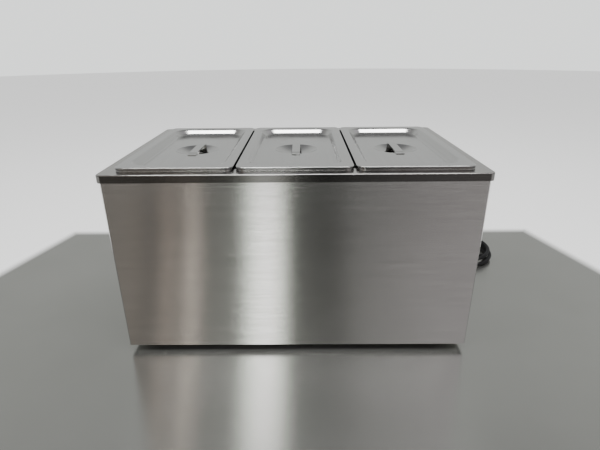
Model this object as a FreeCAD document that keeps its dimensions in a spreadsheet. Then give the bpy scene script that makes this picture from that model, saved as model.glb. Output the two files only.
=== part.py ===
import FreeCAD, Part
import math
import os
import Sketcher

# Countertop steam table: an electric water well in a sheet-steel case, with three
# third-size pans and their lids. +Z is up, +X runs along the front to the right and
# the front faces -Y. The origin is on the worktop under the middle of the case.

os.makedirs("parts", exist_ok=True)
doc = FreeCAD.newDocument("steam_table")
V = FreeCAD.Vector
X_AXIS = V(1, 0, 0)
Y_AXIS = V(0, 1, 0)
Z_AXIS = V(0, 0, 1)

# ---------------------------------------------------------------- driving dimensions

SIZES = {
    # case
    "sheet": 1,
    "deck_length": 572,
    "deck_depth": 368,
    "deck_corner": 8,
    "deck_edge_round": 1.6,
    "rim_top": 309,
    "rim_drop": 12,
    "case_length": 564,
    "case_depth": 360,
    "case_floor": 12,
    "case_bend": 2.5,
    "panel_return": 15,
    "opening_length": 508,
    "opening_depth": 308,
    "opening_corner": 20,
    # bottom cover and its screws
    "cover_length": 552,
    "cover_depth": 348,
    "cover_corner": 3,
    "vent_length": 60,
    "vent_width": 5,
    "vent_pitch": 90,
    "vent_row": 60,
    "screw_shank": 4,
    "screw_head": 8,
    "screw_head_height": 2.4,
    "screw_length": 7,
    "clearance": 0.4,
    "thread_gap": 0.1,
    "cover_screw_x": 230,
    "cover_screw_y": 171,
    # feet
    "foot_height": 11,
    "foot_base": 30,
    "foot_top": 25,
    "foot_recess": 12,
    "foot_recess_depth": 6,
    "foot_x": 236,
    "foot_y": 138,
    "foot_screw": 5,
    "foot_screw_head": 10,
    "foot_screw_head_height": 3,
    "foot_nut": 8,
    "foot_nut_height": 4,
    # water well
    "well_drop": 165,
    "well_floor_length": 496,
    "well_floor_depth": 296,
    "well_floor_corner": 18,
    "well_flange": 9,
    "well_bend": 11,
    # element under the well
    "element_rod": 8,
    "element_gap": 0.3,
    "element_tail": 24,
    "element_turn": 20,
    "element_half_length": 215,
    "element_half_depth": 108,
    "element_plate_length": 360,
    "element_plate_depth": 190,
    "element_plate_sheet": 1.5,
    "stud_size": 5,
    "stud_x": 150,
    "stud_y": 72,
    "stud_drop": 38,
    "nut_size": 9,
    "nut_height": 3,
    "thin_nut_height": 1.2,
    "shield_sheet": 1,
    "shield_height": 106,
    # insulation
    "wool_thickness": 18,
    "wool_gap": 2,
    "wool_foot": 128,
    "wool_top": 304,
    "wool_long": 480,
    "wool_short": 260,
    "wool_bottom_length": 400,
    "wool_bottom_depth": 230,
    # pans
    "pan_pitch": 177.9,
    "pan_offset": -3,
    "pan_sheet": 0.8,
    "pan_flange_length": 172.4,
    "pan_flange_depth": 323.9,
    "pan_flange_corner": 11,
    "pan_lip": 5,
    "pan_length": 150,
    "pan_depth": 299,
    "pan_corner": 29,
    "pan_floor_length": 136,
    "pan_floor_depth": 285,
    "pan_floor_corner": 24,
    "pan_drop": 150,
    "pan_bend": 13,
    "pan_mouth_bend": 4,
    # lids
    "lid_sheet": 0.8,
    "lid_flange_length": 174.6,
    "lid_flange_depth": 327,
    "lid_flange_corner": 12,
    "lid_lip": 4.2,
    "lid_edge_round": 1.2,
    "lid_wall_length": 146.6,
    "lid_wall_depth": 295.6,
    "lid_wall_corner": 30,
    "lid_floor_length": 130.6,
    "lid_floor_depth": 279.6,
    "lid_floor_corner": 24,
    "lid_drop": 10,
    "lid_bend": 6,
    "dish_diameter": 76,
    "dish_depth": 12,
    # lid handles
    "handle_width": 14,
    "handle_sheet": 1.2,
    "handle_rise": 2.6,
    "handle_span": 92,
    "handle_foot": 8,
    "handle_slope": 6,
    "handle_bend": 3,
    # controls in the left end
    "control_height": 76,
    "dial_y": -8,
    "dial_diameter": 84,
    "dial_sheet": 0.8,
    "shaft_diameter": 6,
    "shaft_in_thermostat": 14,
    "shaft_in_knob": 14,
    "shaft_hole": 9,
    "thermostat_size": 40,
    "thermostat_length": 30,
    "mount_screw_spacing": 28,
    "tapped_depth": 11,
    "knob_gap": 4,
    "knob_skirt": 48,
    "knob_skirt_height": 4,
    "knob_body": 38,
    "knob_length": 21,
    "knob_grip": 11,
    "knob_grip_depth": 11,
    "knob_edge_round": 1.5,
    "pilot_y": -86,
    "pilot_hole": 12,
    "pilot_bezel": 17,
    "pilot_length": 26,
    "lens_foot": 1.5,
    "lens_height": 5.5,
    "lens_dome": 3,
    "switch_y": 82,
    "switch_length": 22,
    "switch_height": 30,
    "switch_depth": 24,
    "switch_bezel": 2,
    "rocker_gap": 0.5,
    "rocker_tilt": 8,
    "window_depth": 16,
    "window_frame": 2,
    # sensing, protection and connections
    "bulb_diameter": 6,
    "bulb_length": 80,
    "bulb_x": -60,
    "clip_length": 10,
    "clip_width": 12,
    "capillary_diameter": 2,
    "limit_size": 16,
    "limit_height": 12,
    "limit_x": -224,
    "limit_y": -60,
    "terminal_depth": 18,
    "terminal_width": 40,
    "terminal_y": 60,
    "terminal_foot": 58,
    "terminal_pitch": 12,
    "terminal_screw": 5,
    "terminal_screw_height": 2,
    "earth_y": 150,
    "earth_height": 50,
    "earth_length": 10,
    "earth_size": 5,
    "lead_diameter": 2.6,
    "jacket_end": 258,
    # cord
    "cord_diameter": 8.2,
    "gland_y": 120,
    "gland_height": 70,
    "gland_hole": 16,
    "gland_flange": 24,
    "gland_flange_height": 6,
    "gland_nose": 14,
    "gland_length": 25,
    "gland_thread": 13,
    "gland_nut": 23,
    "gland_nut_height": 5,
    "coil_x": 390,
    "coil_y": 186,
    "coil_inside": 61,
    "coil_outside": 80,
    "coil_height": 26,
    "plug_length": 40,
    "plug_width": 26,
    "plug_height": 22,
    "plug_corner": 6,
    "plug_end_round": 5,
    "pin_offset": 6,
    "pin_lead": 2,
    "blade_length": 17,
    "blade_width": 6.3,
    "blade_sheet": 1.5,
    "blade_spacing": 12.7,
    "ground_pin": 4.8,
}


def make_sheet():
    sheet = doc.addObject("Spreadsheet::Sheet", "dims")
    for row, (alias, value) in enumerate(SIZES.items(), start=1):
        sheet.set(f"A{row}", alias)
        sheet.set(f"B{row}", str(value))
        sheet.setAlias(f"B{row}", alias)
    doc.recompute()
    return sheet


dims = make_sheet()


def size(alias):
    """A driving dimension, read from the sheet."""
    return float(dims.get(alias))


# ---------------------------------------------------------------- sketch and feature helpers

nodes = []


def node(feature):
    """Keep a finished sub-part, which is written to a file of its own."""
    nodes.append(feature)
    return feature


def new_body(label):
    body = doc.addObject("PartDesign::Body", label)
    body.Label = label
    return body


def origin_plane(body, role):
    return next(f for f in body.Origin.OriginFeatures if f.Role == role)


def sketch_on(body, name, role, offset="0"):
    """A sketch on an origin plane of its own body, moved along the plane's normal."""
    sketch = body.newObject("Sketcher::SketchObject", f"{body.Name}_{name}")
    sketch.AttachmentSupport = [(origin_plane(body, role), "")]
    sketch.MapMode = "FlatFace"
    sketch.setExpression("AttachmentOffset.Base.z", offset)
    return sketch


def bind(sketch, constraint, name, expression):
    """Add a dimension to a sketch and tie it to the sheet."""
    index = sketch.addConstraint(constraint)
    sketch.renameConstraint(index, name)
    sketch.setExpression(f"Constraints.{name}", expression)


# Sketch elements start at about this size, and their constraints then move them to the real one.
START_SIZE = 40


def add_polygon(sketch, points):
    """A closed outline of straight sides. Each point is a pair of expressions."""
    first = sketch.GeometryCount
    count = len(points)
    angles = [k * math.tau / count for k in range(count)]
    start = [V(START_SIZE * math.cos(a), START_SIZE * math.sin(a), 0) for a in angles]
    for k in range(count):
        sketch.addGeometry(Part.LineSegment(start[k], start[(k + 1) % count]), False)
    for k in range(count):
        following = first + (k + 1) % count
        sketch.addConstraint(Sketcher.Constraint("Coincident", first + k, 2, following, 1))
    for k, (x, y) in enumerate(points):
        for axis, value in (("X", x), ("Y", y)):
            constraint = Sketcher.Constraint(f"Distance{axis}", -1, 1, first + k, 1, 10.0)
            bind(sketch, constraint, f"p{first + k}{axis.lower()}", value)


def add_rectangle(sketch, length, depth, x="0", y="0"):
    left, right = f"{x} - ({length}) / 2", f"{x} + ({length}) / 2"
    low, high = f"{y} - ({depth}) / 2", f"{y} + ({depth}) / 2"
    add_polygon(sketch, [(left, low), (right, low), (right, high), (left, high)])


def add_circle(sketch, diameter, x="0", y="0"):
    index = sketch.addGeometry(Part.Circle(V(10, 10, 0), Z_AXIS, 5), False)
    bind(sketch, Sketcher.Constraint("Diameter", index, 10.0), f"c{index}d", diameter)
    bind(sketch, Sketcher.Constraint("DistanceX", -1, 1, index, 3, 10.0), f"c{index}x", x)
    bind(sketch, Sketcher.Constraint("DistanceY", -1, 1, index, 3, 10.0), f"c{index}y", y)


def add_rounded_rectangle(sketch, length, depth, corner):
    """A rectangle about the sketch's origin with four equal round corners."""
    first = sketch.GeometryCount
    a, b, r = 40.0, 30.0, 5.0
    quarter = math.pi / 2
    sides = [
        ((r - a, b), (a - r, b)), ((a, b - r), (a, r - b)),
        ((a - r, -b), (r - a, -b)), ((-a, r - b), (-a, b - r)),
    ]
    for (x0, y0), (x1, y1) in sides:
        sketch.addGeometry(Part.LineSegment(V(x0, y0, 0), V(x1, y1, 0)), False)
    for k, (x, y) in enumerate([(a - r, b - r), (a - r, r - b), (r - a, r - b), (r - a, b - r)]):
        circle = Part.Circle(V(x, y, 0), Z_AXIS, r)
        sketch.addGeometry(Part.ArcOfCircle(circle, -k * quarter, (1 - k) * quarter), False)
    for k in range(4):
        arc = first + 4 + k
        sketch.addConstraint(Sketcher.Constraint("Tangent", first + k, 2, arc, 2))
        sketch.addConstraint(Sketcher.Constraint("Tangent", arc, 1, first + (k + 1) % 4, 1))
        direction = "Horizontal" if k % 2 == 0 else "Vertical"
        sketch.addConstraint(Sketcher.Constraint(direction, first + k))
    for k in range(3):
        sketch.addConstraint(Sketcher.Constraint("Equal", first + 4 + k, first + 5 + k))
    sketch.addConstraint(Sketcher.Constraint("Symmetric", first, 1, first + 2, 1, -1, 1))
    across = Sketcher.Constraint("DistanceX", first + 3, 1, first + 1, 1, 2 * a)
    along = Sketcher.Constraint("DistanceY", first + 2, 1, first, 1, 2 * b)
    bind(sketch, across, f"length{first}", length)
    bind(sketch, along, f"depth{first}", depth)
    bind(sketch, Sketcher.Constraint("Radius", first + 4, r), f"corner{first}", corner)


def extrude(kind, body, name, sketch, length, backwards=False):
    feature = body.newObject(f"PartDesign::{kind}", f"{body.Name}_{name}")
    feature.Profile = sketch
    feature.setExpression("Length", length)
    feature.Reversed = backwards
    return feature


def pad(body, name, sketch, length, backwards=False):
    """Add material along the sketch's normal, or against it."""
    return extrude("Pad", body, name, sketch, length, backwards)


def pocket(body, name, sketch, length, forwards=False):
    """Cut against the sketch's normal, or along it, and make sure that it cut something."""
    doc.recompute()
    before = body.Shape.Volume
    feature = extrude("Pocket", body, name, sketch, length, forwards)
    doc.recompute()
    if not feature.Shape.Volume < before - 0.01:
        raise RuntimeError(f"{feature.Name} cut nothing")
    return feature


def loft(kind, body, name, start, end):
    feature = body.newObject(f"PartDesign::{kind}Loft", f"{body.Name}_{name}")
    feature.Profile = start
    feature.Sections = [end]
    feature.Ruled = True
    return feature


def round_edges(body, name, radius, chosen):
    """Fillet the edges of the body's tip that the function named chosen picks."""
    doc.recompute()
    base = body.Tip
    edges = [f"Edge{k}" for k, edge in enumerate(base.Shape.Edges, start=1) if chosen(edge)]
    if not edges:
        raise RuntimeError(f"{body.Name}_{name} found no edge")
    feature = body.newObject("PartDesign::Fillet", f"{body.Name}_{name}")
    feature.Base = (base, edges)
    feature.setExpression("Radius", radius)
    return feature


def at_height(z):
    """Picks the edges that lie flat at one height."""
    return lambda edge: abs(edge.BoundBox.ZMin - z) < 0.01 and abs(edge.BoundBox.ZMax - z) < 0.01


def place(feature, x="0", y="0", z="0", rotation=None):
    if rotation:
        feature.Placement = FreeCAD.Placement(V(0, 0, 0), rotation)
    for axis, value in (("x", x), ("y", y), ("z", z)):
        feature.setExpression(f"Placement.Base.{axis}", value)
    return feature


def box(name, length, depth, height, x="0", y="0", z="0"):
    """A Part box centred on x and y that stands on z."""
    feature = doc.addObject("Part::Box", name)
    for key, value in (("Length", length), ("Width", depth), ("Height", height)):
        feature.setExpression(key, value)
    return place(feature, f"{x} - ({length}) / 2", f"{y} - ({depth}) / 2", z)


TOWARDS = {
    "+Z": FreeCAD.Rotation(),
    "-Z": FreeCAD.Rotation(X_AXIS, 180),
    "+X": FreeCAD.Rotation(Y_AXIS, 90),
    "-X": FreeCAD.Rotation(Y_AXIS, -90),
    "+Y": FreeCAD.Rotation(X_AXIS, -90),
    "-Y": FreeCAD.Rotation(X_AXIS, 90),
}


def cylinder(name, diameter, length, x="0", y="0", z="0", towards="+Z"):
    feature = doc.addObject("Part::Cylinder", name)
    feature.setExpression("Radius", f"({diameter}) / 2")
    feature.setExpression("Height", length)
    return place(feature, x, y, z, TOWARDS[towards])


def cone(name, start, end, length, x="0", y="0", z="0", towards="+Z"):
    feature = doc.addObject("Part::Cone", name)
    feature.setExpression("Radius1", f"({start}) / 2")
    feature.setExpression("Radius2", f"({end}) / 2")
    feature.setExpression("Height", length)
    return place(feature, x, y, z, TOWARDS[towards])


def fuse(label, *shapes):
    feature = doc.addObject("Part::MultiFuse", label)
    feature.Shapes = list(shapes)
    feature.Label = label
    return feature


def cut(label, base, *tools):
    feature = doc.addObject("Part::Cut", label)
    feature.Base = base
    feature.Tool = tools[0] if len(tools) == 1 else fuse(f"{label}_tools", *tools)
    feature.Label = label
    return feature


def group(label, *shapes):
    """Separate solids kept together in one sub-part."""
    feature = doc.addObject("Part::Compound", label)
    feature.Links = list(shapes)
    feature.Label = label
    return feature


def tube_path(points):
    """Straight runs joined by tangent arcs as large as their runs allow, and each arc's radius."""
    edges = []
    radii = []
    start = points[0]
    for before, corner, after in zip(points, points[1:], points[2:]):
        to_corner = corner - before
        from_corner = after - corner
        turn = to_corner.getAngle(from_corner)
        reach = 0.45 * min(to_corner.Length, from_corner.Length)
        radius = reach / math.tan(turn / 2)
        radii.append(radius)
        way_in = V(to_corner).normalize()
        way_out = V(from_corner).normalize()
        arc_start = corner - way_in * reach
        arc_end = corner + way_out * reach
        bisector = (way_out - way_in).normalize()
        middle = corner + bisector * (radius / math.cos(turn / 2) - radius)
        edges.append(Part.LineSegment(start, arc_start).toShape())
        edges.append(Part.Arc(arc_start, middle, arc_end).toShape())
        start = arc_end
    edges.append(Part.LineSegment(start, points[-1]).toShape())
    return Part.Wire(edges), radii


def tube(label, points, diameter):
    """A round cord, wire or rod that follows a route of straight runs and tangent arcs."""
    path, radii = tube_path(points)
    circle = Part.Circle(points[0], points[1] - points[0], diameter / 2)
    section = Part.Wire([circle.toShape()])
    shape = path.makePipeShell([section], True, True)
    expected = path.Length * math.pi * diameter ** 2 / 4
    if abs(shape.Volume / expected - 1) > 0.01:
        raise RuntimeError(f"{label} isn't its section times its length")
    print(f"{label}: length {path.Length:.0f} mm, radii", [round(r) for r in radii])
    feature = doc.addObject("Part::Feature", label)
    feature.Shape = shape
    feature.Label = label
    return feature


# ---------------------------------------------------------------- sheet-metal case


def wrap_panel(label, turn):
    """Front or back panel: a sheet bent round both ends, with a return along its foot."""
    body = new_body(label)
    half_length = "dims.case_length / 2"
    half_depth = "dims.case_depth / 2"
    inner_length = f"({half_length} - dims.sheet)"
    inner_face = f"-({half_depth} - dims.sheet)"
    lap = f"-({half_depth} - dims.panel_return)"
    outline = sketch_on(body, "outline", "XY_Plane", "dims.case_floor")
    add_polygon(outline, [
        (f"-{half_length}", f"-{half_depth}"),
        (half_length, f"-{half_depth}"),
        (half_length, lap),
        (inner_length, lap),
        (inner_length, inner_face),
        (f"-{inner_length}", inner_face),
        (f"-{inner_length}", lap),
        (f"-{half_length}", lap),
    ])
    pad(body, "sheet", outline, "dims.rim_top - dims.sheet - dims.case_floor")
    outside_y = -size("case_depth") / 2
    inside_y = outside_y + size("sheet")
    tall = size("rim_top") / 2

    def upright_at(y):
        return lambda edge: edge.BoundBox.ZLength > tall and abs(edge.BoundBox.YMin - y) < 0.01

    round_edges(body, "outer_bend", "dims.case_bend", upright_at(outside_y))
    round_edges(body, "inner_bend", "dims.case_bend - dims.sheet", upright_at(inside_y))
    foot = sketch_on(body, "foot", "XY_Plane", "dims.case_floor")
    foot_length = "dims.case_length - 2 * dims.sheet - 2 * dims.panel_return - 2"
    add_rectangle(
        foot, f"({foot_length})", "dims.panel_return", "0", f"({inner_face} + dims.panel_return / 2)"
    )
    pad(body, "return", foot, "dims.sheet")
    holes = sketch_on(body, "screw_holes", "XY_Plane", "dims.case_floor + dims.sheet")
    for side in ("-", ""):
        x = f"{side}dims.cover_screw_x"
        add_circle(holes, "dims.screw_shank + dims.thread_gap", x, "-dims.cover_screw_y")
    pocket(body, "screw_hole", holes, "dims.sheet")
    body.Placement = FreeCAD.Placement(V(0, 0, 0), FreeCAD.Rotation(Z_AXIS, turn))
    return node(body)


def end_panel(label, side, cut_outs):
    """End panel, lapped inside the front and back panels. cut_outs draws its holes on a sketch."""
    body = new_body(label)
    outside = "(dims.case_length / 2 - dims.sheet)"
    if side < 0:
        near_face, pad_backwards = f"-{outside}", False
    else:
        near_face, pad_backwards = outside, True
    face = sketch_on(body, "face", "YZ_Plane", near_face)
    height = "(dims.rim_top - dims.sheet - dims.case_floor)"
    depth = "(dims.case_depth - 6 * dims.sheet)"
    add_rectangle(face, depth, height, "0", f"(dims.case_floor + {height} / 2)")
    pad(body, "sheet", face, "dims.sheet", pad_backwards)
    foot = sketch_on(body, "foot", "XY_Plane", "dims.case_floor")
    sign = "-" if side < 0 else ""
    foot_middle = f"{sign}({outside} - dims.panel_return / 2)"
    add_rectangle(foot, "dims.panel_return", "(dims.case_depth - 2 * dims.panel_return - 10)", foot_middle)
    pad(body, "return", foot, "dims.sheet")
    holes = sketch_on(body, "cut_outs", "YZ_Plane", near_face)
    cut_outs(holes)
    pocket(body, "cut_out", holes, "dims.sheet", forwards=side < 0)
    return node(body)


def control_cut_outs(sketch):
    add_circle(sketch, "dims.shaft_hole", "dims.dial_y", "dims.control_height")
    for side in ("-", "+"):
        y = f"(dims.dial_y {side} dims.mount_screw_spacing / 2)"
        add_circle(sketch, "dims.screw_shank + dims.clearance", y, "dims.control_height")
    add_circle(sketch, "dims.pilot_hole", "dims.pilot_y", "dims.control_height")
    add_rectangle(
        sketch, "dims.switch_length", "dims.switch_height", "dims.switch_y", "dims.control_height"
    )


def cord_cut_out(sketch):
    add_circle(sketch, "dims.gland_hole", "dims.gland_y", "dims.gland_height")


def top_deck():
    """Flat top with a turned-down rim and the opening of the well."""
    body = new_body("top_deck")
    block = sketch_on(body, "outline", "XY_Plane", "dims.rim_top - dims.rim_drop")
    add_rounded_rectangle(block, "dims.deck_length", "dims.deck_depth", "dims.deck_corner")
    pad(body, "block", block, "dims.rim_drop")
    round_edges(body, "top_edge", "dims.deck_edge_round", at_height(size("rim_top")))
    under = sketch_on(body, "underside", "XY_Plane", "dims.rim_top - dims.rim_drop")
    inner_length = "dims.deck_length - 2 * dims.sheet"
    inner_depth = "dims.deck_depth - 2 * dims.sheet"
    add_rounded_rectangle(under, inner_length, inner_depth, "dims.deck_corner - dims.sheet")
    pocket(body, "hollow", under, "dims.rim_drop - dims.sheet", forwards=True)
    opening = sketch_on(body, "opening", "XY_Plane", "dims.rim_top")
    add_rounded_rectangle(opening, "dims.opening_length", "dims.opening_depth", "dims.opening_corner")
    pocket(body, "well_opening", opening, "dims.sheet")
    return node(body)


def bottom_cover():
    """Flat vented sheet that closes the case from below, with screw and foot holes."""
    body = new_body("bottom_cover")
    outline = sketch_on(body, "outline", "XY_Plane", "dims.foot_height")
    add_rounded_rectangle(outline, "dims.cover_length", "dims.cover_depth", "dims.cover_corner")
    pad(body, "sheet", outline, "dims.case_floor - dims.foot_height")
    holes = sketch_on(body, "holes", "XY_Plane", "dims.case_floor")
    for x_side in ("-", ""):
        for y_side in ("-", ""):
            x, y = f"{x_side}dims.cover_screw_x", f"{y_side}dims.cover_screw_y"
            add_circle(holes, "dims.screw_shank + dims.clearance", x, y)
            x, y = f"{x_side}dims.foot_x", f"{y_side}dims.foot_y"
            add_circle(holes, "dims.foot_screw + dims.clearance", x, y)
    for row in (-1, 0, 1):
        for column in (-1, 0, 1):
            x, y = f"({column} * dims.vent_pitch)", f"({row} * dims.vent_row)"
            add_rectangle(holes, "dims.vent_length", "dims.vent_width", x, y)
    pocket(body, "hole", holes, "dims.case_floor - dims.foot_height")
    return node(body)


def foot(label, x_side, y_side):
    """Round rubber foot, wider at the worktop, with a recess for its screw head."""
    body = new_body(label)
    profile = sketch_on(body, "profile", "XZ_Plane")
    add_polygon(profile, [
        ("dims.foot_recess / 2", "0"),
        ("dims.foot_base / 2", "0"),
        ("dims.foot_top / 2", "dims.foot_height"),
        ("(dims.foot_screw + dims.clearance) / 2", "dims.foot_height"),
        ("(dims.foot_screw + dims.clearance) / 2", "dims.foot_recess_depth"),
        ("dims.foot_recess / 2", "dims.foot_recess_depth"),
    ])
    turned = body.newObject("PartDesign::Revolution", f"{label}_turned")
    turned.Profile = profile
    turned.ReferenceAxis = (profile, ["V_Axis"])
    turned.Angle = 360
    round_edges(body, "rim", "dims.sheet", lambda edge: edge.BoundBox.XLength > size("foot_base") - 0.1)
    place(body, f"{x_side}dims.foot_x", f"{y_side}dims.foot_y")
    return node(body)


def screw(name, head, head_height, shank, length, x, y, z, towards):
    """A round-headed screw: its head stands on the given point and its shank runs the other way."""
    away = towards.replace("-", "+") if "-" in towards else towards.replace("+", "-")
    cap = cylinder(f"{name}_head", head, head_height, x, y, z, towards)
    stem = cylinder(f"{name}_shank", shank, length, x, y, z, away)
    return fuse(name, cap, stem)


def nut(name, size_across, height, bore, x, y, z):
    """A hexagon nut that stands on the given point."""
    prism = doc.addObject("Part::Prism", f"{name}_hexagon")
    prism.Polygon = 6
    prism.setExpression("Circumradius", f"({size_across}) / 2")
    prism.setExpression("Height", height)
    place(prism, x, y, z)
    return cut(name, prism, cylinder(f"{name}_bore", bore, height, x, y, z))


CORNERS = [
    ("front_left", "-", "-"), ("front_right", "", "-"), ("back_left", "-", ""), ("back_right", "", ""),
]
CORNERS_PER_FLAT = 1.1547  # a hexagon's width across its corners over its width across its flats


def base_fasteners():
    cover_screws = []
    foot_screws = []
    foot_nuts = []
    for place_name, x_side, y_side in CORNERS:
        x, y = f"{x_side}dims.cover_screw_x", f"{y_side}dims.cover_screw_y"
        cover_screws.append(screw(
            f"cover_screw_{place_name}", "dims.screw_head", "dims.screw_head_height",
            "dims.screw_shank", "dims.screw_length", x, y, "dims.foot_height", "-Z",
        ))
        x, y = f"{x_side}dims.foot_x", f"{y_side}dims.foot_y"
        foot_screws.append(screw(
            f"foot_screw_{place_name}", "dims.foot_screw_head", "dims.foot_screw_head_height",
            "dims.foot_screw", "dims.foot_height", x, y, "dims.foot_recess_depth", "-Z",
        ))
        foot_nuts.append(nut(
            f"foot_nut_{place_name}", f"dims.foot_nut * {CORNERS_PER_FLAT}", "dims.foot_nut_height",
            "dims.foot_screw + dims.thread_gap", x, y, "dims.case_floor",
        ))
    node(group("bottom_cover_screws", *cover_screws))
    node(group("foot_screws", *foot_screws))
    node(group("foot_nuts", *foot_nuts))


# ---------------------------------------------------------------- drawn tubs: well, pans and lids


def value(expression):
    """The number behind an expression that is one cell of the sheet."""
    return size(expression.removeprefix("dims."))


def drawn_tub(body, top, floor, flange, heights, sheet, bend, mouth_bend=None):
    """A tapered tub with a flat flange.

    top, floor and flange are outside (length, depth, corner) triples. heights are the flange's
    upper face and the floor's. bend is the radius inside the edge of the floor, and mouth_bend
    the radius over the edge of the mouth.
    """
    flange_top, floor_top = heights

    def inner(outline):
        length, depth, corner = outline
        return f"{length} - 2 * {sheet}", f"{depth} - 2 * {sheet}", f"{corner} - {sheet}"

    def outline_at(name, height, outline):
        sketch = sketch_on(body, name, "XY_Plane", height)
        add_rounded_rectangle(sketch, *outline)
        return sketch

    top_outline = outline_at("top_outline", flange_top, top)
    floor_outline = outline_at("floor_outline", f"{floor_top} - {sheet}", floor)
    loft("Additive", body, "drawn", top_outline, floor_outline)
    flange_outline = outline_at("flange_outline", f"{flange_top} - {sheet}", flange)
    pad(body, "flange", flange_outline, sheet)
    mouth = outline_at("mouth", flange_top, inner(top))
    inner_floor = outline_at("inner_floor", floor_top, inner(floor))
    loft("Subtractive", body, "hollow", mouth, inner_floor)
    doc.recompute()
    under = min(vertex.Z for vertex in body.Shape.Vertexes)
    round_edges(body, "inner_bend", bend, at_height(under + value(sheet)))
    round_edges(body, "outer_bend", f"{bend} + {sheet}", at_height(under))
    if mouth_bend:
        flange_z = max(vertex.Z for vertex in body.Shape.Vertexes)
        half_length, half_depth = value(top[0]) / 2 + 1, value(top[1]) / 2 + 1

        def on_wall(edge):
            room = edge.BoundBox
            return max(-room.XMin, room.XMax) < half_length and max(-room.YMin, room.YMax) < half_depth

        def mouth_below(edge):
            return at_height(flange_z - value(sheet))(edge) and on_wall(edge)

        def mouth_above(edge):
            return at_height(flange_z)(edge) and on_wall(edge)

        round_edges(body, "mouth_bend_below", f"{mouth_bend} - {sheet}", mouth_below)
        round_edges(body, "mouth_bend", mouth_bend, mouth_above)


def turned_edge(body, flange, flange_top, sheet, drop):
    """The edge of a flange, turned straight down."""
    length, depth, corner = flange
    ring = sketch_on(body, "edge_outline", "XY_Plane", f"({flange_top}) - {sheet}")
    add_rounded_rectangle(ring, length, depth, corner)
    add_rounded_rectangle(
        ring, f"{length} - 2 * {sheet}", f"{depth} - 2 * {sheet}", f"{corner} - {sheet}"
    )
    pad(body, "turned_edge", ring, f"{drop} - {sheet}", backwards=True)


def water_well():
    body = new_body("water_well")
    sheet = "dims.sheet"
    top = (
        f"dims.opening_length + 2 * {sheet}",
        f"dims.opening_depth + 2 * {sheet}",
        f"dims.opening_corner + {sheet}",
    )
    floor = ("dims.well_floor_length", "dims.well_floor_depth", "dims.well_floor_corner")
    flange = (
        f"dims.opening_length + 2 * {sheet} + 2 * dims.well_flange",
        f"dims.opening_depth + 2 * {sheet} + 2 * dims.well_flange",
        f"dims.opening_corner + {sheet} + dims.well_flange",
    )
    heights = (f"dims.rim_top - {sheet}", "dims.rim_top - dims.well_drop")
    drawn_tub(body, top, floor, flange, heights, sheet, "dims.well_bend")
    return node(body)


def pan(label, column):
    """Third-size food pan: a deep drawn tub whose flange is turned down onto the deck."""
    body = new_body(label)
    sheet = "dims.pan_sheet"
    flange_top = "dims.rim_top + dims.pan_lip"
    flange = ("dims.pan_flange_length", "dims.pan_flange_depth", "dims.pan_flange_corner")
    drawn_tub(
        body,
        ("dims.pan_length", "dims.pan_depth", "dims.pan_corner"),
        ("dims.pan_floor_length", "dims.pan_floor_depth", "dims.pan_floor_corner"),
        flange, (flange_top, f"{flange_top} - dims.pan_drop + {sheet}"), sheet,
        "dims.pan_bend", "dims.pan_mouth_bend",
    )
    turned_edge(body, flange, flange_top, sheet, "dims.pan_lip")
    place(body, f"{column} * dims.pan_pitch", "dims.pan_offset")
    return node(body)


def dish_profile(body, name, top, deepest):
    """Half of a shallow bowl: a vertical side on the axis, an arc and a flat top."""
    profile = sketch_on(body, name, "XZ_Plane")
    axis_side = profile.addGeometry(Part.LineSegment(V(0, 10, 0), V(0, 0, 0)), False)
    circle = Part.Circle(V(0, 60, 0), Z_AXIS, 60)
    bowl = profile.addGeometry(Part.ArcOfCircle(circle, 1.5 * math.pi, 1.5 * math.pi + 0.5), False)
    flat = profile.addGeometry(Part.LineSegment(V(29, 10, 0), V(0, 10, 0)), False)
    profile.addConstraint(Sketcher.Constraint("Coincident", axis_side, 2, bowl, 1))
    profile.addConstraint(Sketcher.Constraint("Coincident", bowl, 2, flat, 1))
    profile.addConstraint(Sketcher.Constraint("Coincident", flat, 2, axis_side, 1))
    profile.addConstraint(Sketcher.Constraint("PointOnObject", axis_side, 1, -2))
    profile.addConstraint(Sketcher.Constraint("PointOnObject", axis_side, 2, -2))
    profile.addConstraint(Sketcher.Constraint("PointOnObject", bowl, 3, -2))
    profile.addConstraint(Sketcher.Constraint("Horizontal", flat))
    bind(profile, Sketcher.Constraint("DistanceY", -1, 1, flat, 1, 10.0), "top", top)
    bind(profile, Sketcher.Constraint("DistanceY", -1, 1, axis_side, 2, 1.0), "deepest", deepest)
    bind(profile, Sketcher.Constraint("DistanceX", -1, 1, flat, 1, 29.0), "reach", "dims.dish_diameter / 2")
    return profile


def turn_profile(kind, body, name, profile):
    feature = body.newObject(f"PartDesign::{kind}", f"{body.Name}_{name}")
    feature.Profile = profile
    feature.ReferenceAxis = (profile, ["V_Axis"])
    feature.Angle = 360
    return feature


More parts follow.
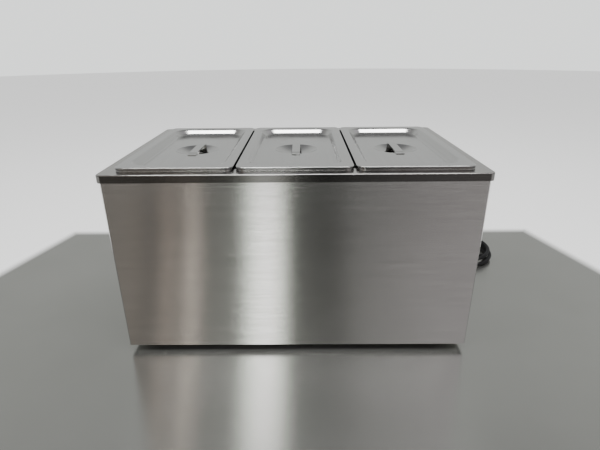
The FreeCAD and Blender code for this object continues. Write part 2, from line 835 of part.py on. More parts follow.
def lid(label, column):
    """Recessed lid: a flat flange, sloping walls down to its floor and a finger dish in the middle."""
    body = new_body(label)
    sheet = "dims.lid_sheet"
    flange_top = "dims.rim_top + dims.pan_lip + dims.lid_sheet"
    floor_top = f"{flange_top} - dims.lid_drop"
    flange = ("dims.lid_flange_length", "dims.lid_flange_depth", "dims.lid_flange_corner")
    drawn_tub(
        body,
        ("dims.lid_wall_length", "dims.lid_wall_depth", "dims.lid_wall_corner"),
        ("dims.lid_floor_length", "dims.lid_floor_depth", "dims.lid_floor_corner"),
        flange, (flange_top, floor_top), sheet, "dims.lid_bend", "dims.lid_bend",
    )
    turned_edge(body, flange, flange_top, sheet, "dims.lid_lip")
    top = size("rim_top") + size("pan_lip") + size("lid_sheet")
    outside = size("lid_wall_length") / 2 + 1
    round_edges(
        body, "edge_bend", "dims.lid_edge_round",
        lambda edge: at_height(top)(edge) and max(-edge.BoundBox.XMin, edge.BoundBox.XMax) > outside,
    )
    bulge = dish_profile(
        body, "dish_outside", f"{floor_top} - {sheet} / 2", f"{floor_top} - dims.dish_depth - {sheet}"
    )
    turn_profile("Revolution", body, "dish_bulge", bulge)
    hollow = dish_profile(body, "dish_inside", f"{floor_top} + 0.01", f"{floor_top} - dims.dish_depth")
    turn_profile("Groove", body, "dish", hollow)
    place(body, f"{column} * dims.pan_pitch", "dims.pan_offset")
    return node(body)


def lid_handle(label, column):
    """A bent strap whose two feet are welded to the lid, each side of the finger dish."""
    body = new_body(label)
    floor = "(dims.rim_top + dims.pan_lip + dims.lid_sheet - dims.lid_drop)"
    end = "dims.handle_span / 2"
    knee = f"({end} - dims.handle_foot)"
    shoulder = f"({knee} - dims.handle_slope)"
    strap = "dims.handle_sheet"
    lean = f"{strap} / 2"
    upper = f"{floor} + dims.handle_rise"
    right = [
        (end, floor), (end, f"{floor} + {strap}"), (f"{knee} + {lean}", f"{floor} + {strap}"),
        (f"{shoulder} + {lean}", upper),
    ]
    under = [
        (f"{shoulder} - {lean}", f"{upper} - {strap}"), (f"{knee} - {lean}", floor),
    ]
    mirror = [(f"-({y})", z) for y, z in reversed(right)]
    mirror_under = [(f"-({y})", z) for y, z in reversed(under)]
    profile = sketch_on(body, "profile", "YZ_Plane", "-dims.handle_width / 2")
    add_polygon(profile, right + mirror + mirror_under + under)
    pad(body, "strap", profile, "dims.handle_width")
    shoulder_y = size("handle_span") / 2 - size("handle_foot") - size("handle_slope")
    lid_floor = size("rim_top") + size("pan_lip") + size("lid_sheet") - size("lid_drop")
    middle = lid_floor + size("handle_rise") / 2

    def across(edge):
        flat = edge.BoundBox.XLength > size("handle_width") - 0.1
        return flat and edge.BoundBox.ZMin > middle and abs(abs(edge.BoundBox.YMin) - shoulder_y) < 2

    round_edges(body, "bends", "dims.handle_bend", across)
    place(body, f"{column} * dims.pan_pitch", "dims.pan_offset")
    return node(body)


# ---------------------------------------------------------------- heat


THROUGH = 10  # how far a drill starts outside what it cuts


def heating_parts():
    """Element under the well, its clamp plate and heat shield, and the studs that carry both."""
    well_under = size("rim_top") - size("well_drop") - size("sheet")
    rod = size("element_rod")
    rod_z = well_under - rod / 2 - size("element_gap")
    half_length = size("element_half_length")
    far_y = size("element_half_depth")
    near_y = far_y / 3
    terminal_x = -half_length - size("element_tail")
    turn_x = -half_length + size("element_turn")
    route = [
        (terminal_x, -far_y), (half_length, -far_y), (half_length, -near_y), (turn_x, -near_y),
        (turn_x, near_y), (half_length, near_y), (half_length, far_y), (terminal_x, far_y),
    ]
    node(tube("heating_element", [V(x, y, rod_z) for x, y in route], rod))
    plate_top = "(dims.rim_top - dims.well_drop - dims.sheet - dims.element_rod - 2 * dims.element_gap)"
    plate_under = f"({plate_top} - dims.element_plate_sheet)"
    plate = box(
        "element_plate_blank", "dims.element_plate_length", "dims.element_plate_depth",
        "dims.element_plate_sheet", z=plate_under,
    )
    shield = box(
        "heat_shield_blank", "dims.wool_bottom_length", "dims.wool_bottom_depth",
        "dims.shield_sheet", z="dims.shield_height",
    )
    wool = box(
        "bottom_wool_blank", "dims.wool_bottom_length", "dims.wool_bottom_depth",
        "dims.wool_thickness", z="dims.shield_height + dims.shield_sheet",
    )
    studs = []
    plate_nuts = []
    shield_nuts = []
    holes = {"plate": [], "shield": [], "wool": []}
    for column in (-1, 1):
        for row in (-1, 1):
            x, y = f"{column} * dims.stud_x", f"{row} * dims.stud_y"
            tag = f"{column + 1}{row + 1}"
            top = "dims.rim_top - dims.well_drop - dims.sheet"
            studs.append(cylinder(f"stud_{tag}", "dims.stud_size", "dims.stud_drop", x, y, top, "-Z"))
            plate_nuts.append(nut(
                f"plate_nut_{tag}", "dims.nut_size", "dims.nut_height", "dims.stud_size + dims.thread_gap",
                x, y, f"{plate_under} - dims.nut_height",
            ))
            for key in holes:
                bore = "dims.nut_size + 2" if key == "wool" else "dims.stud_size + dims.clearance"
                start = f"dims.shield_height - {THROUGH}"
                holes[key].append(cylinder(f"{key}_hole_{tag}", bore, "dims.stud_drop * 2", x, y, start))
            shield_nuts.append(nut(
                f"shield_nut_{tag}", "dims.nut_size", "dims.thin_nut_height",
                "dims.stud_size + dims.thread_gap", x, y, "dims.shield_height - dims.thin_nut_height",
            ))
    node(group("element_studs", *studs))
    node(group("element_nuts", *plate_nuts, *shield_nuts))
    node(cut("element_plate", plate, *holes["plate"]))
    node(cut("heat_shield", shield, *holes["shield"]))
    node(cut("insulation_bottom", wool, *holes["wool"]))


def insulation():
    """Mineral-wool slabs between the well and the case."""
    height = "(dims.wool_top - dims.wool_foot)"
    middle_y = "(dims.case_depth / 2 - dims.sheet - dims.wool_gap - dims.wool_thickness / 2)"
    middle_x = "(dims.case_length / 2 - 2 * dims.sheet - dims.wool_gap - dims.wool_thickness / 2)"
    for label, sign in (("insulation_front", "-"), ("insulation_back", "")):
        node(box(
            label, "dims.wool_long", "dims.wool_thickness", height,
            "0", f"{sign}{middle_y}", "dims.wool_foot",
        ))
    for label, sign in (("insulation_left", "-"), ("insulation_right", "")):
        node(box(
            label, "dims.wool_thickness", "dims.wool_short", height,
            f"{sign}{middle_x}", "0", "dims.wool_foot",
        ))


# ---------------------------------------------------------------- controls in the left end

END_FACE = "(dims.case_length / 2 - dims.sheet)"
END_INSIDE = "(dims.case_length / 2 - 2 * dims.sheet)"


def controls():
    y, z = "dims.dial_y", "dims.control_height"
    screw_side = {side: f"(dims.dial_y {side} dims.mount_screw_spacing / 2)" for side in ("-", "+")}
    # thermostat body, bored for its shaft and tapped for its two screws
    block = box(
        "thermostat_block", "dims.thermostat_length", "dims.thermostat_size", "dims.thermostat_size",
        f"-({END_INSIDE} - dims.thermostat_length / 2)", y, f"{z} - dims.thermostat_size / 2",
    )
    bores = [cylinder(
        "shaft_bore", "dims.shaft_diameter + 1.5 * dims.clearance", "dims.shaft_in_thermostat + 1",
        f"-{END_INSIDE}", y, z, "+X",
    )]
    bores += [
        cylinder(
            f"tapped_hole_{k}", "dims.screw_shank + dims.thread_gap", "dims.tapped_depth",
            f"-{END_INSIDE}", screw_side[side], z, "+X",
        )
        for k, side in enumerate("-+")
    ]
    node(cut("thermostat_body", block, *bores))
    # dial plate and the screws that hold it and the thermostat
    disc = cylinder("dial_disc", "dims.dial_diameter", "dims.dial_sheet", f"-{END_FACE}", y, z, "-X")
    drill_start, drill_length = f"-({END_FACE} - dims.sheet)", "3 * dims.sheet"
    dial_holes = [cylinder("dial_shaft_hole", "dims.shaft_hole", drill_length, drill_start, y, z, "-X")]
    dial_holes += [
        cylinder(
            f"dial_screw_hole_{k}", "dims.screw_shank + dims.clearance", drill_length,
            drill_start, screw_side[side], z, "-X",
        )
        for k, side in enumerate("-+")
    ]
    node(cut("dial_plate", disc, *dial_holes))
    dial_face = f"({END_FACE} + dims.dial_sheet)"
    node(group("thermostat_screws", *[
        screw(
            f"thermostat_screw_{k}", "dims.screw_head - 1", "dims.screw_head_height - 0.4",
            "dims.screw_shank", "dims.screw_length + 4", f"-{dial_face}", screw_side[side], z, "-X",
        )
        for k, side in enumerate("-+")
    ]))
    # shaft with a flat, which turns with the knob
    shaft_start = f"-({END_INSIDE} - dims.shaft_in_thermostat)"
    shaft_reach = "(dims.shaft_in_thermostat + dims.sheet + dims.knob_gap + dims.shaft_in_knob)"
    rod = cylinder("shaft_rod", "dims.shaft_diameter", shaft_reach, shaft_start, y, z, "-X")
    flat = box(
        "shaft_flat", "dims.shaft_in_knob", "dims.shaft_diameter", "dims.shaft_diameter",
        f"-({END_FACE} + dims.knob_gap + dims.shaft_in_knob / 2)", y, f"{z} + dims.shaft_diameter / 3",
    )
    node(cut("thermostat_shaft", rod, flat))


def control_knob():
    """Round skirt, tapered body and a raised grip, bored for the shaft. Its axis is Z here."""
    body = new_body("control_knob")
    profile = sketch_on(body, "profile", "XZ_Plane")
    collar = "(dims.knob_length - dims.knob_grip_depth)"
    add_polygon(profile, [
        ("0", "0"), ("dims.knob_skirt / 2", "0"), ("dims.knob_skirt / 2", "dims.knob_skirt_height / 2"),
        ("dims.knob_body / 2 + 1", "dims.knob_skirt_height"), ("dims.knob_body / 2", collar), ("0", collar),
    ])
    turn_profile("Revolution", body, "turned", profile)
    grip = sketch_on(body, "grip_outline", "XY_Plane", f"{collar} - 1")
    add_rounded_rectangle(grip, "dims.knob_body - 2", "dims.knob_grip", "dims.knob_grip / 2 - 0.5")
    pad(body, "grip", grip, "dims.knob_grip_depth + 1")
    round_edges(body, "grip_edge", "dims.knob_edge_round", at_height(size("knob_length")))
    bore = sketch_on(body, "bore_outline", "XY_Plane")
    add_circle(bore, "dims.shaft_diameter + dims.thread_gap")
    pocket(body, "bore", bore, "dims.shaft_in_knob + 2 * dims.thread_gap", forwards=True)
    place(
        body, f"-({END_FACE} + dims.knob_gap)", "dims.dial_y", "dims.control_height",
        FreeCAD.Rotation(Y_AXIS, -90),
    )
    return node(body)


def pilot_light():
    y, z = "dims.pilot_y", "dims.control_height"
    barrel = "dims.pilot_hole - dims.clearance"
    node(cylinder("pilot_body", barrel, "dims.pilot_length", f"-{END_FACE}", y, z, "+X"))
    body = new_body("pilot_lens")
    profile = sketch_on(body, "profile", "XZ_Plane")
    add_polygon(profile, [
        ("0", "0"), ("dims.pilot_bezel / 2", "0"), ("dims.pilot_bezel / 2", "dims.lens_foot"),
        ("dims.pilot_hole / 2", "dims.lens_foot + 0.5"), ("dims.pilot_hole / 2 - 1", "dims.lens_height"),
        ("0", "dims.lens_height"),
    ])
    turn_profile("Revolution", body, "turned", profile)
    round_edges(body, "dome", "dims.lens_dome", at_height(size("lens_height")))
    place(body, f"-{END_FACE}", y, z, FreeCAD.Rotation(Y_AXIS, -90))
    node(body)


def power_switch():
    """Rocker switch: a housing with a bezel, and the rocker that tips in its window."""
    y, z = "dims.switch_y", "dims.control_height"
    bezel = box(
        "switch_frame", "dims.switch_bezel", "dims.switch_length + 2 * dims.window_frame",
        "dims.switch_height + 2 * dims.window_frame",
        f"-({END_FACE} + dims.switch_bezel / 2)", y, f"{z} - dims.switch_height / 2 - dims.window_frame",
    )
    case = box(
        "switch_case", "dims.switch_depth", "dims.switch_length - dims.clearance",
        "dims.switch_height - dims.clearance",
        f"-({END_FACE} - dims.switch_depth / 2)", y, f"{z} - (dims.switch_height - dims.clearance) / 2",
    )
    window = box(
        "switch_window", "dims.window_depth", "dims.switch_length - 2 * dims.window_frame",
        "dims.switch_height - 1.5 * dims.window_frame",
        f"-({END_FACE} + dims.switch_bezel - dims.window_depth / 2)", y,
        f"{z} - (dims.switch_height - 1.5 * dims.window_frame) / 2",
    )
    node(cut("switch_housing", fuse("switch_shell", bezel, case), window))
    body = new_body("switch_rocker")
    width = "(dims.switch_length - 2 * dims.window_frame - 2 * dims.rocker_gap)"
    profile = sketch_on(body, "profile", "XZ_Plane", f"-{width} / 2")
    add_polygon(profile, [
        ("-4.5", "-12"), ("-2", "0"), ("-4.5", "12"), ("3", "10.5"), ("6", "0"), ("3", "-10.5"),
    ])
    pad(body, "paddle", profile, width)
    place(
        body, f"-({END_FACE} + dims.switch_bezel - dims.sheet)", y, z,
        FreeCAD.Rotation(Y_AXIS, size("rocker_tilt")),
    )
    node(body)


# ---------------------------------------------------------------- sensing, connections and leads


def sensing_parts():
    """Bulb and capillary of the thermostat, and the cut-out that guards against a dry well."""
    under = "(dims.rim_top - dims.well_drop - dims.sheet)"
    bulb_z = f"({under} - dims.bulb_diameter / 2 - dims.element_gap)"
    node(cylinder(
        "sensing_bulb", "dims.bulb_diameter", "dims.bulb_length", "dims.bulb_x", "0", bulb_z, "+X",
    ))
    clip_x = "(dims.bulb_x + dims.bulb_length / 2)"
    clip = box(
        "clip_block", "dims.clip_length", "dims.clip_width", "dims.element_rod",
        clip_x, "0", f"{under} - dims.element_rod",
    )
    clip_bore = cylinder(
        "clip_bore", "dims.bulb_diameter + 2 * dims.thread_gap", "2 * dims.clip_length",
        f"{clip_x} - dims.clip_length", "0", bulb_z, "+X",
    )
    node(cut("bulb_clip", clip, clip_bore))
    node(cylinder(
        "high_limit_cutout", "dims.limit_size", "dims.limit_height",
        "dims.limit_x", "dims.limit_y", under, "-Z",
    ))
    well_under = size("rim_top") - size("well_drop") - size("sheet")
    z = well_under - size("bulb_diameter") / 2 - size("element_gap")
    back = -(size("case_length") / 2 - 2 * size("sheet") - size("thermostat_length"))
    middle_y = size("dial_y") + 6
    route = [
        V(back, middle_y, 90), V(-234, middle_y, 92), V(-224, -1, 120), V(-208, 0, 130),
        V(-193, 0.2, 130), V(-184, 0, z), V(size("bulb_x"), 0, z),
    ]
    node(tube("capillary_tube", route, size("capillary_diameter")))


def connections():
    """Terminal block and earth stud on the inside of the right end."""
    inside = "(dims.case_length / 2 - 2 * dims.sheet)"
    block = box(
        "terminal_blank", "dims.terminal_depth", "dims.terminal_width", "dims.terminal_depth",
        f"{inside} - dims.terminal_depth / 2", "dims.terminal_y", "dims.terminal_foot",
    )
    screw_wells = [
        cylinder(
            f"screw_well_{k}", "6", "5", f"{inside} - dims.terminal_depth / 2",
            f"dims.terminal_y + {k} * 12", "dims.terminal_foot + dims.terminal_depth", "-Z",
        )
        for k in (-1, 0, 1)
    ]
    node(cut("terminal_block", block, *screw_wells))
    node(group("terminal_screws", *[
        cylinder(
            f"terminal_screw_{k}", "dims.terminal_screw", "dims.terminal_screw_height",
            f"{inside} - dims.terminal_depth / 2", f"dims.terminal_y + {k} * dims.terminal_pitch",
            "dims.terminal_foot + dims.terminal_depth - dims.terminal_screw",
        )
        for k in (-1, 0, 1)
    ]))
    node(cylinder(
        "earth_stud", "dims.earth_size", "dims.earth_length",
        inside, "dims.earth_y", "dims.earth_height", "-X",
    ))


def leads():
    """Insulated leads between the cord, terminal block, switch, thermostat, cut-out and element."""
    wire = size("lead_diameter")
    jacket = size("jacket_end")
    block = size("case_length") / 2 - 2 * size("sheet") - size("terminal_depth")
    live_y = size("terminal_y") + 10
    neutral_y = size("terminal_y") - 10
    switch = -(size("case_length") / 2 - size("sheet") - size("switch_depth"))
    thermostat = -(size("case_length") / 2 - 2 * size("sheet") - size("thermostat_length"))
    pilot = -(size("case_length") / 2 - size("sheet") - size("pilot_length"))
    well_under = size("rim_top") - size("well_drop") - size("sheet")
    rod_z = well_under - size("element_rod") / 2 - size("element_gap")
    rod_end = -size("element_half_length") - size("element_tail")
    rod_y = size("element_half_depth")
    limit_under = well_under - size("limit_height")
    live = {
        "supply": [
            (jacket, 122, 72), (238, 122, 72), (232, 96, 72.5), (240, live_y, 73), (block, live_y, 73),
        ],
        "to_switch": [
            (block, live_y, 63), (240, live_y, 60), (222, 70, 34), (190, 72, 22), (-190, 78, 22),
            (-225, 80, 34), (-236, 82, 68), (switch, 82, 70),
        ],
        "to_thermostat": [
            (switch, 76, 84), (-238, 76, 84), (-230, 48, 86), (-236, 6, 84), (thermostat, 6, 84),
        ],
        "to_cut_out": [
            (thermostat, -18, 84), (-236, -18, 86), (-222, -40, 100), (-221, -60, 112),
            (-221, -60, limit_under),
        ],
        "to_element": [
            (-227, -60, limit_under), (-228, -62, 116), (-236, -84, 108), (-252, -106, 118),
            (-256, -rod_y, rod_z), (rod_end, -rod_y, rod_z),
        ],
        "to_pilot": [
            (pilot, -86, 76), (-238, -86, 74), (-228, -50, 68), (-236, -10, 64), (thermostat, -10, 62),
        ],
    }
    neutral = {
        "supply": [
            (jacket, 118, 67), (240, 118, 67), (234, 88, 67), (242, neutral_y, 67), (block, neutral_y, 67),
        ],
        "to_element": [
            (block, neutral_y, 62), (240, neutral_y, 60), (222, 50, 40), (190, 54, 30), (-150, 120, 30),
            (-204, 130, 46), (-240, 126, 90), (-254, 112, 114), (-256, rod_y, rod_z),
            (rod_end, rod_y, rod_z),
        ],
    }
    for label, routes in (("live_leads", live), ("neutral_leads", neutral)):
        node(group(label, *[
            tube(f"{label}_{name}", [V(*point) for point in points], wire)
            for name, points in routes.items()
        ]))
    stud_end = size("case_length") / 2 - 2 * size("sheet") - size("earth_length")
    earth = [(jacket, 122, 67), (246, 124, 66), (240, 140, 58), (252, 150, 50.5), (stud_end, 150, 50)]
    node(tube("earth_lead", [V(*point) for point in earth], wire))


# ---------------------------------------------------------------- cord


def cord_entry():
    """Strain relief bushing in the right end, its nut, and the cord's own end inside the case."""
    y, z = "dims.gland_y", "dims.gland_height"
    flange = cylinder(
        "gland_flange_disc", "dims.gland_flange", "dims.gland_flange_height", END_FACE, y, z, "+X",
    )
    nose = cone(
        "gland_nose_cone", "dims.gland_flange - 4", "dims.gland_nose",
        "dims.gland_length - dims.gland_flange_height",
        f"{END_FACE} + dims.gland_flange_height", y, z, "+X",
    )
    thread = cylinder(
        "gland_thread_rod", "dims.gland_hole - dims.clearance", "dims.gland_thread", END_FACE, y, z, "-X",
    )
    bore = cylinder(
        "gland_bore", "dims.cord_diameter + 2 * dims.thread_gap",
        "2 * (dims.gland_length + dims.gland_thread)",
        f"{END_FACE} - 2 * dims.gland_thread", y, z, "+X",
    )
    node(cut("strain_relief", fuse("strain_relief_blank", flange, nose, thread), bore))
    ring = cylinder("gland_nut_disc", "dims.gland_nut", "dims.gland_nut_height", END_INSIDE, y, z, "-X")
    ring_bore = cylinder(
        "gland_nut_bore", "dims.gland_hole - dims.clearance / 2", "2 * dims.gland_nut_height",
        END_FACE, y, z, "-X",
    )
    node(cut("strain_relief_nut", ring, ring_bore))
    inner_length = f"({END_FACE} + dims.gland_length - dims.jacket_end)"
    node(cylinder("cord_inner_end", "dims.cord_diameter", inner_length, "dims.jacket_end", y, z, "+X"))


def free_cord():
    """The cord from the strain relief to its coil on the worktop, and from the coil to the plug."""
    diameter = size("cord_diameter")
    gland_tip = size("case_length") / 2 - size("sheet") + size("gland_length")
    run = [
        (gland_tip, 120, 70), (336, 120, 70), (368, 124, 55), (398, 129, 33), (426, 138, 17),
        (449, 156, 8), (459, 184, 4.4),
    ]
    tail = [
        (321, 186, 17), (320.5, 160, 14), (321, 134, 9), (320, 108, 5.2), (319, 80, 4.3),
        (321, 54, 4.4), (325, 31, 7), (325.5, 8, 11),
    ]
    node(tube("cord_run", [V(*point) for point in run], diameter))
    node(tube("cord_tail", [V(*point) for point in tail], diameter))
    node(cut("cord_coil", *[
        cylinder(f"coil_{part}", f"2 * dims.coil_{part}", "dims.coil_height", "dims.coil_x", "dims.coil_y")
        for part in ("outside", "inside")
    ]))
    plug_x, plug_end = tail[-1][0], tail[-1][1]
    body = new_body("plug_body")
    outline = sketch_on(body, "outline", "XZ_Plane")
    add_rounded_rectangle(outline, "dims.plug_width", "dims.plug_height", "dims.plug_corner")
    pad(body, "block", outline, "dims.plug_length")
    round_edges(body, "cord_end", "dims.plug_end_round", lambda edge: edge.BoundBox.YMin > -0.01)
    body.Placement = FreeCAD.Placement(V(plug_x, plug_end, size("plug_height") / 2), FreeCAD.Rotation())
    node(body)
    face_y = plug_end - size("plug_length")
    blades = []
    for side in (-1, 1):
        blade = doc.addObject("Part::Box", f"blade_{side + 1}")
        blade.setExpression("Length", "dims.blade_sheet")
        blade.setExpression("Width", "dims.blade_length")
        blade.setExpression("Height", "dims.blade_width")
        x = plug_x + side * size("blade_spacing") / 2 - size("blade_sheet") / 2
        place(blade, f"{x}", f"{face_y} - dims.blade_length", "dims.plug_height / 2 - dims.pin_offset")
        blades.append(blade)
    pin = cylinder(
        "ground_pin_rod", "dims.ground_pin", "dims.blade_length + dims.pin_lead",
        f"{plug_x}", f"{face_y}", "dims.plug_height / 2 + dims.pin_offset", "-Y",
    )
    node(group("plug_blades", *blades, pin))


# ---------------------------------------------------------------- build everything

wrap_panel("front_panel", 0)
wrap_panel("back_panel", 180)
end_panel("left_end_panel", -1, control_cut_outs)
end_panel("right_end_panel", 1, cord_cut_out)
top_deck()
bottom_cover()
for place_name, x_side, y_side in CORNERS:
    foot(f"foot_{place_name}", x_side, y_side)
base_fasteners()
water_well()
for column, place_name in ((-1, "left"), (0, "centre"), (1, "right")):
    pan(f"pan_{place_name}", column)
    lid(f"lid_{place_name}", column)
    lid_handle(f"lid_handle_{place_name}", column)
heating_parts()
insulation()
controls()
control_knob()
pilot_light()
power_switch()
sensing_parts()
connections()
leads()
cord_entry()
free_cord()

doc.recompute()
for feature in doc.Objects:
    if {"Invalid", "Error"} & set(feature.State):
        raise RuntimeError(f"{feature.Name} failed: {feature.State}")
for feature in nodes:
    if feature.Shape.isNull() or not feature.Shape.isValid():
        raise RuntimeError(f"{feature.Label} has no valid shape")
for feature in nodes:
    feature.Shape.exportStep(f"parts/{feature.Label}.step")
print(len(nodes), "nodes written")
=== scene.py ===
import math
import bmesh
import bpy
from mathutils import Matrix, Vector


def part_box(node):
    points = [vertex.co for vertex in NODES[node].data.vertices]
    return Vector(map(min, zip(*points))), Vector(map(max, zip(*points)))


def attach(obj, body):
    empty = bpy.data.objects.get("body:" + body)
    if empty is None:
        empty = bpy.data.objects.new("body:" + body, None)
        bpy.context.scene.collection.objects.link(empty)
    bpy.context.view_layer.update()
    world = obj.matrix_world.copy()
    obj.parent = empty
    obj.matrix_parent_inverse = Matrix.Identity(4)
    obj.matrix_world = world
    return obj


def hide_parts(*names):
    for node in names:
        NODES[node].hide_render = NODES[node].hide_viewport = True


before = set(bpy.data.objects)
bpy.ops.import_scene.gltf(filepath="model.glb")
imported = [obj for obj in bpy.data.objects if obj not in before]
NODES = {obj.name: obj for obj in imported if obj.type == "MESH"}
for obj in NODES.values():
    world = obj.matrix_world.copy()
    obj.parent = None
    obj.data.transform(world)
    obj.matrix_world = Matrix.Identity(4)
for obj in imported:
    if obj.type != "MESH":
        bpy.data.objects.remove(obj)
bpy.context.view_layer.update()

MM = 0.001


# ---------------------------------------------------------------- camera

CAMERA_PLACE = Vector((0.0116, -0.7793, 0.4786))
# In degrees.
CAMERA_DOWN, CAMERA_LEFT, CAMERA_ROLL = 22.56, 0.446, -0.513
# In millimetres.
CAMERA_LENS, CAMERA_SENSOR = 26.09, 36.0


def make_camera():
    data = bpy.data.cameras.new("camera")
    data.sensor_width = CAMERA_SENSOR
    data.lens = CAMERA_LENS
    data.clip_start = 0.01
    camera = bpy.data.objects.new("camera", data)
    bpy.context.scene.collection.objects.link(camera)
    turn = (
        Matrix.Rotation(math.radians(CAMERA_LEFT), 4, "Z")
        @ Matrix.Rotation(math.radians(90 - CAMERA_DOWN), 4, "X")
        @ Matrix.Rotation(math.radians(CAMERA_ROLL), 4, "Z")
    )
    camera.matrix_world = Matrix.Translation(CAMERA_PLACE) @ turn
    bpy.context.scene.camera = camera


make_camera()


# ---------------------------------------------------------------- helpers for meshes

def link(obj, body, material, smooth=True):
    """Puts a new piece in the scene, riding on a CAD body."""
    bpy.context.scene.collection.objects.link(obj)
    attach(obj, body)
    obj.data.materials.append(material)
    if smooth and obj.type == "MESH":
        for polygon in obj.data.polygons:
            polygon.use_smooth = True
    return obj


def mesh_object(name, bm):
    mesh = bpy.data.meshes.new(name)
    bmesh.ops.recalc_face_normals(bm, faces=bm.faces)
    bm.to_mesh(mesh)
    bm.free()
    return bpy.data.objects.new(name, mesh)


def bevelled(obj, width, angle):
    """Rounds the edges that are sharper than an angle in degrees."""
    modifier = obj.modifiers.new("Bevel", "BEVEL")
    modifier.width = width
    modifier.segments = 2
    modifier.limit_method = "ANGLE"
    modifier.angle_limit = math.radians(angle)
    modifier.harden_normals = True


def rings_to_mesh(bm, rings, closed_end=True):
    """Faces between rings of points with the same count, with a cap on the first ring and maybe the last."""
    rows = [[bm.verts.new(point) for point in ring] for ring in rings]
    count = len(rows[0])
    for low, high in zip(rows, rows[1:]):
        for k in range(count):
            bm.faces.new((low[k], low[(k + 1) % count], high[(k + 1) % count], high[k]))
    bm.faces.new(list(reversed(rows[0])))
    if closed_end:
        bm.faces.new(rows[-1])


def ring_about_x(x, radius, y, z, count, flutes=0, depth=0.0):
    """A ring of points about an axis along X; flutes bite depth into it, all in millimetres."""
    points = []
    for k in range(count):
        angle = 2 * math.pi * k / count
        reach = radius - depth * (0.5 - 0.5 * math.cos(flutes * angle)) ** 2
        points.append(Vector((x, y + reach * math.cos(angle), z + reach * math.sin(angle))) * MM)
    return points


def rounded_outline(width, height, power, count):
    """Points of a superellipse in two dimensions: power 2 is an ellipse, more is squarer."""
    points = []
    for k in range(count):
        angle = 2 * math.pi * k / count
        c, s = math.cos(angle), math.sin(angle)
        points.append((
            width / 2 * math.copysign(abs(c) ** (2 / power), c),
            height / 2 * math.copysign(abs(s) ** (2 / power), s),
        ))
    return points


# ---------------------------------------------------------------- helpers for materials

class NodeTree:
    """Makes and joins the nodes of one material or world."""

    def __init__(self, tree):
        self.tree = tree

    def join(self, value, socket):
        """Links a socket to another, or sets its number, vector or colour."""
        if isinstance(value, bpy.types.NodeSocket):
            self.tree.links.new(value, socket)
        elif socket.type == "RGBA":
            socket.default_value = (*value, 1.0)
        else:
            socket.default_value = value

    def node(self, kind, inputs=None, **settings):
        made = self.tree.nodes.new(kind)
        for key, value in settings.items():
            setattr(made, key, value)
        for key, value in (inputs or {}).items():
            self.join(value, made.inputs[key])
        return made

    def math(self, operation, *values):
        return self.node("ShaderNodeMath", dict(enumerate(values)), operation=operation).outputs[0]

    def mix(self, factor, first, second):
        """Mixes two colours."""
        inputs = {"Factor": factor, 6: first, 7: second}
        return self.node("ShaderNodeMix", inputs, data_type="RGBA").outputs[2]

    def ramp(self, value, low, high, to_low=0.0, to_high=1.0, shape="LINEAR"):
        made = self.node("ShaderNodeMapRange", {
            "Value": value, "From Min": low, "From Max": high, "To Min": to_low, "To Max": to_high,
        }, interpolation_type=shape)
        return made.outputs["Result"]

    def smooth(self, value, low, high):
        return self.ramp(value, low, high, shape="SMOOTHSTEP")

    def magnitude(self, value):
        return self.math("ABSOLUTE", value)


class Shader(NodeTree):
    """One material on a Principled surface."""

    def __init__(self, name, colour, roughness, metallic=0.0):
        self.material = bpy.data.materials.new(name)
        self.material.use_nodes = True
        super().__init__(self.material.node_tree)
        self.surface = self.tree.nodes["Principled BSDF"]
        self.set("Base Color", colour)
        self.set("Roughness", roughness)
        self.set("Metallic", metallic)
        self.place = self.node("ShaderNodeTexCoord").outputs["Object"]

    def set(self, socket, value):
        """Gives one of the surface's sockets a value or a link."""
        self.join(value, self.surface.inputs[socket])

    def noise(self, scale, detail=3.0, roughness=0.55, stretch=(1, 1, 1), distortion=0.0):
        """Grey noise around 0.5. A stretch below 1 makes its features longer that way."""
        mapped = self.node("ShaderNodeMapping", {"Vector": self.place, "Scale": stretch})
        made = self.node("ShaderNodeTexNoise", {
            "Vector": mapped.outputs["Vector"], "Scale": scale, "Detail": detail,
            "Roughness": roughness, "Distortion": distortion,
        })
        return made.outputs["Fac"]

    def bumps(self, *layers):
        """Each layer is (height, strength, distance in metres)."""
        normal = None
        for height, strength, distance in layers:
            inputs = {"Height": height, "Strength": strength, "Distance": distance}
            if normal:
                inputs["Normal"] = normal
            normal = self.node("ShaderNodeBump", inputs).outputs["Normal"]
        self.set("Normal", normal)


# Noise on steel: features per metre, detail, roughness, and how much fewer there are along the brushing.
SCRATCHES = (1300, 4, 0.7, 0.004)
STREAKS = (170, 3, 0.6, 0.008)
DASHES = (280, 3, 0.7, 0.05)


def brushing(shader, grain, scale, detail, roughness, along):
    stretch = tuple(along if axis == grain else 1.0 for axis in "XYZ")
    return shader.noise(scale, detail, roughness, stretch)


def tinted(colour, amount):
    return tuple(min(1.0, c * amount) for c in colour)


